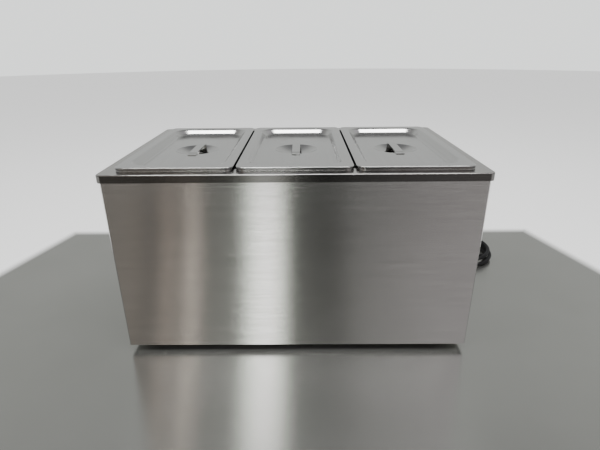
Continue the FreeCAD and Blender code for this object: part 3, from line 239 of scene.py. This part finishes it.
def brushed_steel(
    name, colour, roughness, grain="X", anisotropy=0.0, rotation=0.0, fine=0.25, waves=0.0,
    smudge=0.06, upright_shade=1.0, dashes=0.03,
):
    """Stainless sheet brushed along one axis, with scratches, streaks, handling marks and slight waves.

    A tone below 1 for the upright faces paints shade on them, darkening their colour.
    """
    shader = Shader(name, colour, roughness, metallic=1.0)
    shader.set("Anisotropic", anisotropy)
    shader.set("Anisotropic Rotation", rotation)
    scratches = brushing(shader, grain, *SCRATCHES)
    streaks = brushing(shader, grain, *STREAKS)
    short = brushing(shader, grain, *DASHES)
    marks = shader.noise(11, detail=5, roughness=0.6, distortion=0.4)
    tone = shader.ramp(scratches, 0.3, 0.7, 0.2, 1.0)
    tone = shader.math("MULTIPLY", tone, shader.ramp(streaks, 0.3, 0.7, 0.8, 1.0))
    sheet = shader.mix(tone, tinted(colour, 0.86), tinted(colour, 1.05))
    # Painted shade: faces that stand upright get a darker colour than the rest of the sheet.
    if upright_shade < 1:
        normal = shader.node("ShaderNodeNewGeometry").outputs["True Normal"]
        upward = shader.node("ShaderNodeSeparateXYZ", {0: normal}).outputs["Z"]
        upright_shade_mask = shader.ramp(shader.magnitude(upward), 0.3, 0.6)
        sheet = shader.mix(upright_shade_mask, tinted(colour, upright_shade), sheet)
    faint = shader.ramp(short, 0.35, 0.65, 0.0, dashes)
    shader.set("Base Color", shader.mix(faint, sheet, tinted(colour, 0.5)))
    rough = shader.ramp(scratches, 0.25, 0.75, roughness * 0.72, roughness * 1.28)
    rough = shader.math("ADD", rough, shader.ramp(marks, 0.3, 0.75, -smudge / 2, smudge))
    shader.set("Roughness", rough)
    layers = [(scratches, fine, 0.0001)]
    if waves:
        layers.append((shader.noise(4.5, detail=1, roughness=0.4), waves, 0.002))
    shader.bumps(*layers)
    return shader.material


# ---------------------------------------------------------------- power cord

# The route in metres: down from the bushing, round the coil, then along the end panel to the plug.
CORD_DIAMETER = 0.0082
CORD_EXIT = (0.306, 0.120, 0.070)
CORD_RUN = [
    CORD_EXIT, (0.336, 0.120, 0.070), (0.368, 0.124, 0.055), (0.398, 0.129, 0.033),
    (0.426, 0.138, 0.017), (0.449, 0.156, 0.008), (0.459, 0.184, 0.0044),
]
CORD_TAIL = [
    (0.321, 0.186, 0.017), (0.3205, 0.160, 0.014), (0.321, 0.134, 0.009), (0.320, 0.108, 0.0052),
    (0.319, 0.080, 0.0043), (0.321, 0.054, 0.0044), (0.325, 0.031, 0.007), (0.3255, 0.008, 0.011),
]
COIL_CENTRE = (0.390, 0.186)
POINTS_PER_TURN = 16
# Loose turns: the angle in degrees, the distance from the middle and the height, both in millimetres.
COIL_COURSE = [
    (-2, 69, 4.4), (60, 71, 4.4), (140, 72.5, 4.4), (230, 73, 4.5), (290, 76, 5.5), (335, 75, 10.2),
    (380, 69, 13.0), (450, 66.5, 12.6), (540, 64, 9.6), (600, 64.5, 11.5), (665, 69, 16.5),
    (700, 69.5, 20.0), (750, 69.5, 21.0), (820, 68.5, 19.6), (900, 69, 17.0),
]


def coil_at(angle):
    """Distance from the middle and height at an angle, smoothly between the rows of the course."""
    low, high = next(pair for pair in zip(COIL_COURSE, COIL_COURSE[1:]) if angle <= pair[1][0])
    t = (angle - low[0]) / (high[0] - low[0])
    t = t * t * (3 - 2 * t)
    return [a + (b - a) * t for a, b in zip(low[1:], high[1:])]


def coil_points():
    first, last = COIL_COURSE[0][0], COIL_COURSE[-1][0]
    steps = round((last - first) / 360 * POINTS_PER_TURN)
    points = []
    for k in range(1, steps):
        angle = first + (last - first) * k / steps
        radius, height = coil_at(angle)
        turn = math.radians(angle)
        points.append((
            COIL_CENTRE[0] + radius * MM * math.cos(turn),
            COIL_CENTRE[1] + radius * MM * math.sin(turn),
            height * MM,
        ))
    return points


def nurbs(name, points, diameter):
    """A round cord along a NURBS spline; each point's radius is the cord's own."""
    curve = bpy.data.curves.new(name, "CURVE")
    curve.dimensions = "3D"
    curve.resolution_u = 8
    spline = curve.splines.new("NURBS")
    spline.points.add(len(points) - 1)
    for point, place in zip(spline.points, points):
        point.co = (*place, 1.0)
        point.radius = diameter / 2
    spline.order_u = 3
    spline.use_endpoint_u = True
    curve.bevel_depth = 1.0
    curve.bevel_resolution = 8
    curve.use_fill_caps = True
    return bpy.data.objects.new(name, curve)


def rubber(name, colour, roughness, grain_size=900, bump=0.25):
    """Moulded rubber or PVC: dull black with a fine skin, dust in patches and a slight sheen."""
    shader = Shader(name, colour, roughness)
    skin = shader.noise(grain_size, detail=4, roughness=0.65)
    dust = shader.noise(26, detail=5, roughness=0.65)
    pale = tuple(min(1.0, c * 1.9 + 0.012) for c in colour)
    shader.set("Base Color", shader.mix(shader.ramp(dust, 0.45, 0.8, 0.0, 0.75), colour, pale))
    shader.set("Roughness", shader.math(
        "ADD", shader.ramp(skin, 0.3, 0.7, roughness - 0.06, roughness + 0.06),
        shader.ramp(dust, 0.35, 0.8, -0.04, 0.1),
    ))
    shader.set("Specular IOR Level", 0.3)
    shader.bumps((skin, bump, 0.00008))
    return shader.material


cord_jacket = rubber("cord_jacket", (0.006, 0.006, 0.0065), 0.5, grain_size=1500, bump=0.15)
power_cord = nurbs("power_cord", CORD_RUN + coil_points() + CORD_TAIL, CORD_DIAMETER)
link(power_cord, "case", cord_jacket)
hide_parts("cord_run", "cord_coil", "cord_tail")


# ---------------------------------------------------------------- plug

PLUG_SQUARENESS, PLUG_POINTS = 3.2, 40


def plug_shape():
    """Moulded straight plug: a flat face with the blades, a waisted grip with ridges, and a tapered neck."""
    low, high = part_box("plug_body")
    x, z = (low.x + high.x) / 2 / MM, (low.z + high.z) / 2 / MM
    front, back = low.y / MM, high.y / MM
    width, height = (high.x - low.x) / MM, (high.z - low.z) / MM
    # Sections across Y, in millimetres: where, how wide along X and how high along Z.
    body = [
        (front, width - 2.4, height - 2.4), (front + 0.5, width - 0.8, height - 0.8),
        (front + 1.6, width, height), (front + 7.5, width, height),
        (front + 9.5, width - 1.2, height - 1.2), (front + 11, width - 3.5, height - 2.6),
    ]
    for step in range(4):
        y = front + 12.5 + 3.2 * step
        shrink = 3.9 + 0.7 * step
        wide, tall = width - shrink, height - shrink
        body += [
            (y, wide, tall), (y + 0.5, wide - 1.6, tall - 1.6),
            (y + 1.5, wide - 1.6, tall - 1.6), (y + 2.1, wide, tall),
        ]
    body += [
        (front + 26, width - 8.5, height - 6.5), (front + 29, width - 12.5, height - 8.6),
        (front + 31.5, 11.5, 11.5),
    ]
    for step in range(3):
        y = front + 32.5 + 2.2 * step
        size = 11.4 - 0.5 * step
        groove = size - 1.2
        body += [(y, size, size), (y + 0.3, groove, groove), (y + 1.2, groove, groove), (y + 1.5, size, size)]
    body.append((back, 9.3, 9.3))
    bm = bmesh.new()
    rings_to_mesh(bm, [
        [Vector((x + a, y, z + b)) * MM for a, b in rounded_outline(w, h, PLUG_SQUARENESS, PLUG_POINTS)]
        for y, w, h in body if y <= back
    ])
    return mesh_object("plug", bm)


plug_rubber = rubber("plug_rubber", (0.014, 0.014, 0.015), 0.46, grain_size=1100, bump=0.3)
plug = plug_shape()
link(plug, "case", plug_rubber)
bevelled(plug, 0.0004, angle=50)
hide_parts("plug_body")


# ---------------------------------------------------------------- strain relief where the cord leaves

RELIEF_RIBS, RELIEF_POINTS = 7, 48


def strain_relief_shape():
    """Moulded bushing: a flange against the sheet, then a tapered neck cut into flexing rings."""
    low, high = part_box("strain_relief")
    y, z = (low.y + high.y) / 2 / MM, (low.z + high.z) / 2 / MM
    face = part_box("right_end_panel")[1].x / MM
    tip, start = high.x / MM, low.x / MM
    flange = (high.y - low.y) / MM
    # Each section is its place along X and its diameter, in millimetres.
    sections = [
        (start, 15.2), (start + 0.6, 15.8), (face - 0.05, 15.8), (face, flange - 1.2),
        (face + 0.5, flange), (face + 2.6, flange), (face + 3.4, flange - 1.6),
        (face + 4.0, flange - 4.6), (face + 5.0, flange - 6.0),
    ]
    for k in range(RELIEF_RIBS):
        x = face + 6.4 + 2.35 * k
        size = 17.2 - 0.86 * k
        groove = size - 2.1
        sections += [(x, groove), (x + 0.25, size), (x + 1.35, size - 0.3), (x + 1.6, groove)]
    sections += [(tip - 1.2, 10.6), (tip - 0.3, 10.2), (tip, 9.6), (tip, 8.5), (tip - 3, 8.45)]
    bm = bmesh.new()
    rings = [ring_about_x(x, size / 2, y, z, RELIEF_POINTS) for x, size in sections]
    rings_to_mesh(bm, rings, closed_end=False)
    return mesh_object("cord_bushing", bm)


relief_rubber = rubber("relief_rubber", (0.016, 0.016, 0.017), 0.5, grain_size=1000, bump=0.3)
cord_bushing = strain_relief_shape()
link(cord_bushing, "case", relief_rubber)
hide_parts("strain_relief")


# ---------------------------------------------------------------- materials on the CAD nodes

case_steel = brushed_steel(
    "case_steel", (0.61, 0.60, 0.59), 0.11, grain="X", anisotropy=1.0, rotation=0.25,
    fine=0.22, smudge=0.01, dashes=0.22,
)
end_steel = brushed_steel(
    "end_steel", (0.60, 0.585, 0.575), 0.34, grain="Y", anisotropy=0.9, rotation=0.25,
    fine=0.22, waves=0.06, dashes=0.18,
)
# The deck's upright faces get strong painted shade.
deck_steel = brushed_steel(
    "deck_steel", (0.52, 0.51, 0.49), 0.13, grain="X", anisotropy=0.2, rotation=0.25,
    fine=0.08, waves=0.03, smudge=0.02, upright_shade=0.27,
)
# The lids' upright lips get painted shade.
lid_steel = brushed_steel(
    "lid_steel", (0.63, 0.63, 0.62), 0.15, grain="Y", anisotropy=0.2,
    fine=0.08, waves=0.10, smudge=0.08, upright_shade=0.62,
)
pan_steel = brushed_steel(
    "pan_steel", (0.62, 0.62, 0.61), 0.22, grain="X", anisotropy=0.3, fine=0.10, waves=0.05, smudge=0.08,
)
handle_steel = brushed_steel(
    "handle_steel", (0.60, 0.60, 0.59), 0.16, grain="Y", anisotropy=0.3, fine=0.10,
)
well_steel = brushed_steel(
    "well_steel", (0.52, 0.52, 0.5), 0.33, grain="X", fine=0.15, waves=0.1, smudge=0.14,
)


def cast_material(name, colour, roughness, metallic, grain_size, bump, variation=0.2):
    """Plain technical surface: slight colour drift, fine grain and small dents."""
    shader = Shader(name, colour, roughness, metallic=metallic)
    grain = shader.noise(grain_size, detail=5, roughness=0.65)
    drift = shader.noise(30, detail=4, roughness=0.6)
    dark, light = tinted(colour, 1 - variation), tinted(colour, 1 + variation)
    shader.set("Base Color", shader.mix(drift, dark, light))
    shader.set("Roughness", shader.ramp(grain, 0.3, 0.7, max(0.05, roughness - 0.07), roughness + 0.07))
    shader.bumps((grain, bump, 0.0001))
    return shader.material


zinc = cast_material("zinc_plate", (0.55, 0.55, 0.54), 0.35, 1.0, 900, 0.15)
foot_rubber = rubber("foot_rubber", (0.018, 0.018, 0.018), 0.7, grain_size=700, bump=0.4)
sheath = cast_material("element_sheath", (0.16, 0.15, 0.14), 0.45, 1.0, 700, 0.2, 0.3)
wool = cast_material("mineral_wool", (0.62, 0.58, 0.44), 0.95, 0.0, 420, 0.9, 0.25)
black_plastic = cast_material("black_plastic", (0.018, 0.018, 0.02), 0.42, 0.0, 1600, 0.25, 0.25)
dial_metal = brushed_steel("dial_metal", (0.72, 0.72, 0.72), 0.3, grain="Y", fine=0.15)
white_plastic = cast_material("white_plastic", (0.75, 0.73, 0.68), 0.4, 0.0, 1300, 0.1, 0.06)
copper = cast_material("copper", (0.72, 0.38, 0.22), 0.3, 1.0, 800, 0.1, 0.15)
brass = cast_material("brass", (0.78, 0.61, 0.3), 0.24, 1.0, 900, 0.08, 0.08)
black_lead = rubber("black_lead", (0.015, 0.015, 0.015), 0.45)
white_lead = cast_material("white_lead", (0.78, 0.77, 0.73), 0.45, 0.0, 1200, 0.1, 0.05)
green_lead = cast_material("green_lead", (0.04, 0.3, 0.08), 0.45, 0.0, 1200, 0.1, 0.15)
lens = cast_material("amber_lens", (0.75, 0.2, 0.02), 0.12, 0.0, 500, 0.05, 0.1)
lens.node_tree.nodes["Principled BSDF"].inputs["Coat Weight"].default_value = 0.6
rocker_plastic = cast_material("red_rocker", (0.5, 0.02, 0.015), 0.3, 0.0, 1500, 0.12, 0.12)

for material, names in (
    (case_steel, ["front_panel", "back_panel"]),
    (end_steel, ["left_end_panel", "right_end_panel"]),
    (deck_steel, ["top_deck"]),
    (well_steel, ["water_well"]),
    (pan_steel, ["pan_left", "pan_centre", "pan_right"]),
    (lid_steel, ["lid_left", "lid_centre", "lid_right"]),
    (handle_steel, ["lid_handle_left", "lid_handle_centre", "lid_handle_right"]),
    (zinc, [
        "bottom_cover", "heat_shield", "element_plate", "element_nuts", "element_studs", "bulb_clip",
        "thermostat_screws", "bottom_cover_screws", "foot_screws", "foot_nuts", "terminal_screws",
        "earth_stud",
    ]),
    (foot_rubber, ["foot_front_left", "foot_front_right", "foot_back_left", "foot_back_right"]),
    (sheath, ["heating_element", "sensing_bulb", "high_limit_cutout", "thermostat_shaft"]),
    (wool, [
        "insulation_bottom", "insulation_front", "insulation_back", "insulation_left", "insulation_right",
    ]),
    (black_plastic, ["thermostat_body", "control_knob", "switch_housing", "strain_relief_nut"]),
    (dial_metal, ["dial_plate"]),
    (lens, ["pilot_lens"]),
    (rocker_plastic, ["switch_rocker"]),
    (white_plastic, ["pilot_body", "terminal_block"]),
    (copper, ["capillary_tube"]),
    (brass, ["plug_blades"]),
    (black_lead, ["live_leads"]),
    (white_lead, ["neutral_leads"]),
    (green_lead, ["earth_lead"]),
    (cord_jacket, ["cord_inner_end"]),
):
    for name in names:
        materials = NODES[name].data.materials
        materials.clear()
        materials.append(material)


# ---------------------------------------------------------------- thermostat knob and the marks on its dial

# The dial's scale: degrees from the first mark to the last, and the highest number.
DIAL_SWEEP, DIAL_MARKS = 270, 10
# Sizes on the dial and the knob in millimetres: marks are (across, along), reaches are from the middle.
LONG_TICK, SHORT_TICK, NUMBER_HEIGHT, NUMBER_REACH = (0.9, 4.0), (0.5, 2.6), 7.2, 34.8
LONG_TICK_REACH, SHORT_TICK_REACH = 27.6, 26.9
POINTER_SIZE, POINTER_REACH = (1.8, 11.5), 6.4
KNOB_FLUTES, BAR_SQUARENESS, BAR_POINTS = 24, 4.5, 72


def knob_shape(low, high):
    """Moulded knob: a thin skirt, a fluted collar, and a finger bar with a crowned top."""
    y, z = (low.y + high.y) / 2 / MM, (low.z + high.z) / 2 / MM
    base, tip = high.x / MM, low.x / MM
    skirt, length = (high.y - low.y) / 2 / MM, base - tip
    # Each section is how far from the end panel, its radius and how deep its flutes are.
    sections = [
        (0, skirt - 1.0, 0), (0.4, skirt, 0), (1.8, skirt, 0), (2.6, skirt - 0.7, 0), (3.6, skirt - 4.0, 0),
        (4.2, skirt - 4.9, 0.3), (4.8, skirt - 5.2, 1.2), (length * 0.42, skirt - 5.5, 1.2),
        (length * 0.46, skirt - 6.1, 0.8), (length * 0.48, skirt - 7.4, 0), (length * 0.485, skirt - 12, 0),
    ]
    bm = bmesh.new()
    rings_to_mesh(bm, [
        ring_about_x(base - x, radius, y, z, KNOB_FLUTES * 6, KNOB_FLUTES if depth else 0, depth)
        for x, radius, depth in sections
    ])
    # Each section of the finger bar is how far from the end panel, its width and its height.
    bar = [
        (length * 0.44, 13.5, 37.0), (length * 0.50, 12.0, 36.6), (length * 0.60, 11.0, 36.0),
        (length * 0.84, 10.2, 34.6), (length * 0.93, 9.6, 33.6), (length * 0.975, 8.2, 31.6),
        (length * 0.995, 5.6, 28.4), (length, 3.0, 25.0),
    ]
    rings_to_mesh(bm, [
        [Vector((base - x, y + a, z + b)) * MM for a, b in rounded_outline(w, h, BAR_SQUARENESS, BAR_POINTS)]
        for x, w, h in bar
    ])
    return mesh_object("knob", bm)


def flat_mark(bm, x, centre, size, angle, thickness=0.12):
    """A thin upright plate facing -X: size is (across, along), turned by angle from +Z."""
    across, along = size[0] / 2, size[1] / 2
    turn = math.radians(angle)
    c, s = math.cos(turn), math.sin(turn)
    rings = []
    for depth, shrink in ((0, 0), (thickness, 0.06)):
        ring = []
        for a, b in rounded_outline(2 * (across - shrink), 2 * (along - shrink), 6, 24):
            ring.append(Vector((x - depth, centre[0] + a * c + b * s, centre[1] - a * s + b * c)) * MM)
        rings.append(ring)
    rings_to_mesh(bm, rings)


def dial_marks():
    """Ticks around the dial and plain numbers beside them."""
    low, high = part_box("control_knob")
    y, z = (low.y + high.y) / 2 / MM, (low.z + high.z) / 2 / MM
    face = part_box("dial_plate")[0].x / MM - 0.02
    bm = bmesh.new()
    for k in range(DIAL_MARKS * 2 + 1):
        angle = DIAL_SWEEP * k / (2 * DIAL_MARKS)
        turn = math.radians(angle)
        size, reach = (SHORT_TICK, SHORT_TICK_REACH) if k % 2 else (LONG_TICK, LONG_TICK_REACH)
        centre = (y - reach * math.sin(turn), z + reach * math.cos(turn))
        flat_mark(bm, face, centre, size, -angle)
    for k in range(1, DIAL_MARKS + 1):
        turn = math.radians(DIAL_SWEEP * k / DIAL_MARKS)
        centre = (y - NUMBER_REACH * math.sin(turn), z + NUMBER_REACH * math.cos(turn))
        add_number(bm, str(k), face, centre)
    return mesh_object("dial_marks", bm)


def add_number(bm, text, x, centre):
    """A flat number in Blender's own plain font, facing -X."""
    curve = bpy.data.curves.new("number", "FONT")
    curve.body = text
    curve.size = NUMBER_HEIGHT
    curve.align_x = "CENTER"
    curve.align_y = "CENTER"
    curve.extrude = 0.06
    curve.resolution_u = 4
    holder = bpy.data.objects.new("number", curve)
    mesh = bpy.data.meshes.new_from_object(holder)
    turn = Matrix(((0, 0, -1, x - 0.06), (-1, 0, 0, centre[0]), (0, 1, 0, centre[1]), (0, 0, 0, 1)))
    mesh.transform(Matrix.Scale(MM, 4) @ turn)
    bm.from_mesh(mesh)
    bpy.data.objects.remove(holder)
    bpy.data.curves.remove(curve)
    bpy.data.meshes.remove(mesh)


def knob_pointer(low, high):
    """A pale line on the finger bar, pointing up when the knob is at rest."""
    bm = bmesh.new()
    y, z = (low.y + high.y) / 2 / MM, (low.z + high.z) / 2 / MM
    flat_mark(bm, low.x / MM + 0.05, (y, z + POINTER_REACH), POINTER_SIZE, 0, thickness=0.13)
    return mesh_object("knob_pointer", bm)


knob_plastic = rubber("knob_plastic", (0.014, 0.014, 0.015), 0.36, grain_size=1800, bump=0.12)
mark_ink = cast_material("mark_ink", (0.02, 0.02, 0.02), 0.55, 0.0, 1800, 0.1, 0.2)
pointer_paint = cast_material("pointer_paint", (0.8, 0.8, 0.78), 0.45, 0.0, 1500, 0.1, 0.05)
knob_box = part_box("control_knob")
knob = link(knob_shape(*knob_box), "knob", knob_plastic)
bevelled(knob, 0.0003, angle=40)
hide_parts("control_knob")
link(knob_pointer(*knob_box), "knob", pointer_paint)
link(dial_marks(), "case", mark_ink, smooth=False)


# ---------------------------------------------------------------- floor, lights and world

FLOOR_RADIUS = 9.0
FLOOR_METALLIC, FLOOR_ROUGHNESS = 0.88, 0.18
FLOOR_DARK, FLOOR_LIGHT = (0.375, 0.38, 0.355), (0.43, 0.435, 0.41)
FLOOR_PALE = (0.82, 0.83, 0.82)
# The near part of the floor, in metres from the unit's middle: its half width at the back, how much that
# grows for each metre forward, its back and front edges, and the width over which it fades to the pale part.
NEAR_ASIDE, NEAR_FLARE, NEAR_BACK, NEAR_FRONT, NEAR_EDGE = 0.61, 0.25, 0.31, 2.0, 0.03
PALE_GLOW = 0.64


def make_floor():
    """Plain pale floor; the part that the unit stands on is darker and shiny, brushed from side to side."""
    bm = bmesh.new()
    bmesh.ops.create_circle(bm, cap_ends=True, radius=FLOOR_RADIUS, segments=96)
    floor = mesh_object("floor", bm)
    bpy.context.scene.collection.objects.link(floor)
    shader = Shader("floor_surface", FLOOR_PALE, FLOOR_ROUGHNESS)
    grain = shader.noise(520, detail=4, roughness=0.6, stretch=(0.03, 1, 1))
    cloud = shader.noise(2.2, detail=4, roughness=0.55)
    split = shader.node("ShaderNodeSeparateXYZ", {0: shader.place}).outputs
    behind = shader.math("SUBTRACT", split["Y"], NEAR_BACK)
    aside = shader.math("SUBTRACT", shader.magnitude(split["X"]), NEAR_ASIDE)
    aside = shader.math("ADD", aside, shader.math("MULTIPLY", behind, NEAR_FLARE))
    ahead = shader.math("SUBTRACT", shader.math("MULTIPLY", split["Y"], -1.0), NEAR_FRONT)
    outside = shader.math("MAXIMUM", aside, shader.math("MAXIMUM", behind, ahead))
    far = shader.ramp(outside, 0.0, NEAR_EDGE)
    near = shader.mix(shader.ramp(cloud, 0.3, 0.7), FLOOR_DARK, FLOOR_LIGHT)
    shader.set("Base Color", shader.mix(far, near, FLOOR_PALE))
    shader.set("Roughness", shader.ramp(grain, 0.3, 0.7, FLOOR_ROUGHNESS - 0.015, FLOOR_ROUGHNESS + 0.015))
    shader.set("Metallic", shader.ramp(far, 0.0, 1.0, FLOOR_METALLIC, 0.0))
    shader.set("Emission Color", (1.0, 1.0, 1.0))
    shader.set("Emission Strength", shader.ramp(far, 0.0, 1.0, 0.0, PALE_GLOW))
    shader.set("Anisotropic", 1.0)
    shader.set("Anisotropic Rotation", 0.25)
    shader.set("Tangent", shader.node("ShaderNodeCombineXYZ", {"X": 1.0}).outputs[0])
    shader.bumps((grain, 0.22, 0.0002))
    floor.data.materials.append(shader.material)


def area_light(name, place, aim, width, height, power, reflected=True):
    """A soft light that the camera doesn't see; one that isn't reflected leaves no highlight in the steel."""
    data = bpy.data.lights.new(name, "AREA")
    data.shape = "RECTANGLE"
    data.size, data.size_y = width, height
    data.energy = power
    light = bpy.data.objects.new(name, data)
    place = Vector(place)
    turn = (Vector(aim) - place).to_track_quat("-Z", "Y")
    light.matrix_world = Matrix.Translation(place) @ turn.to_matrix().to_4x4()
    light.visible_camera = False
    light.visible_glossy = reflected
    bpy.context.scene.collection.objects.link(light)


# What stands in front of the unit, as upright bands from left to right: how far aside for each metre
# away, then the colour. A grey wall with two narrow pale strips, a wide window, a dark corner, a wall.
ROOM_BANDS = [
    (-0.60, (0.62, 0.59, 0.56)), (-0.44, (0.72, 0.62, 0.56)), (-0.40, (0.30, 0.27, 0.25)),
    (-0.368, (0.38, 0.34, 0.31)), (-0.356, (2.9, 2.3, 2.0)), (-0.344, (0.40, 0.37, 0.34)),
    (-0.303, (0.40, 0.37, 0.34)), (-0.291, (7.0, 6.0, 5.4)), (-0.279, (0.43, 0.42, 0.39)),
    (-0.155, (0.8, 0.82, 0.78)), (-0.135, (9.4, 10.1, 9.4)), (-0.095, (11.4, 10.8, 11.7)),
    (-0.060, (8.8, 9.4, 8.6)), (-0.047, (0.28, 0.30, 0.27)), (0.05, (0.03, 0.034, 0.027)),
    (0.09, (0.10, 0.102, 0.097)), (0.14, (0.52, 0.51, 0.52)), (0.36, (1.12, 1.05, 1.12)),
    (0.60, (1.5, 1.42, 1.5)),
]
# How far up, for each metre away, the panel mirrors the room. It turns those places into directions.
MIRROR_RISE = 0.555
# The colour ramp holds colours up to 1, so the bands are divided by this and multiplied back.
BAND_GAIN = 12.0
ROOM_BACK, ROOM_TOP, ROOM_SIDES = (0.62, 0.63, 0.62), (0.22, 0.22, 0.225), (0.34, 0.34, 0.345)
LOW_MIDDLE, LOW_SIDES = (0.035, 0.04, 0.038), (0.22, 0.20, 0.18)
# The colour that the camera sees where there is no floor.
SEEN = (1.46, 1.50, 1.48)
# Between which parts of the unit direction each change happens: along X at the sides and low down,
# along Y from front to back, and along Z from low to the bands and from there to the top.
SIDES_FADE, LOW_FADE, BACK_FADE = (0.55, 0.85), (0.10, 0.42), (-0.1, 0.45)
BANDS_FADE, TOP_FADE = (0.27, 0.36), (0.55, 0.95)


class Room(NodeTree):
    """Soft surroundings: pale to look at, with plain upright bands in front for the steel to reflect."""

    def __init__(self):
        self.world = bpy.data.worlds.new("studio")
        self.world.use_nodes = True
        super().__init__(self.world.node_tree)
        self.tree.nodes.clear()
        bpy.context.scene.world = self.world

    def bands(self, aside):
        # The X part of the unit direction towards each place.
        places = [round(x / math.hypot(1.0, MIRROR_RISE, x), 3) for x, _ in ROOM_BANDS]
        low, high = places[0], places[-1]
        made = self.node("ShaderNodeValToRGB", {"Fac": self.ramp(aside, low, high)})
        stops = made.color_ramp.elements
        for place in places[1:-1]:
            stops.new((place - low) / (high - low))
        for stop, (_, colour) in zip(stops, ROOM_BANDS):
            stop.color = (*(c / BAND_GAIN for c in colour), 1.0)
        inputs = {0: made.outputs["Color"], "Scale": BAND_GAIN}
        return self.node("ShaderNodeVectorMath", inputs, operation="SCALE").outputs[0]

    def make(self):
        direction = self.node("ShaderNodeTexCoord").outputs["Generated"]
        split = self.node("ShaderNodeSeparateXYZ", {0: direction}).outputs
        aside = self.magnitude(split["X"])
        low = self.mix(self.smooth(aside, *LOW_FADE), LOW_MIDDLE, LOW_SIDES)
        room = self.mix(self.smooth(split["Z"], *BANDS_FADE), low, self.bands(split["X"]))
        room = self.mix(self.smooth(aside, *SIDES_FADE), room, ROOM_SIDES)
        room = self.mix(self.smooth(split["Y"], *BACK_FADE), room, ROOM_BACK)
        room = self.mix(self.smooth(split["Z"], *TOP_FADE), room, ROOM_TOP)
        seen = self.mix(self.node("ShaderNodeLightPath").outputs["Is Camera Ray"], room, SEEN)
        surface = self.node("ShaderNodeBackground", {"Color": seen, "Strength": 1.0})
        self.node("ShaderNodeOutputWorld", {"Surface": surface.outputs[0]})


make_floor()
Room().make()
area_light("ceiling_bar", (0.0, -0.60, 2.0), (0, 0.1, 0.2), 1.9, 0.42, 32)
area_light("ceiling_soft", (0.2, 0.7, 2.4), (0, 0, 0.2), 1.6, 1.2, 20, reflected=False)
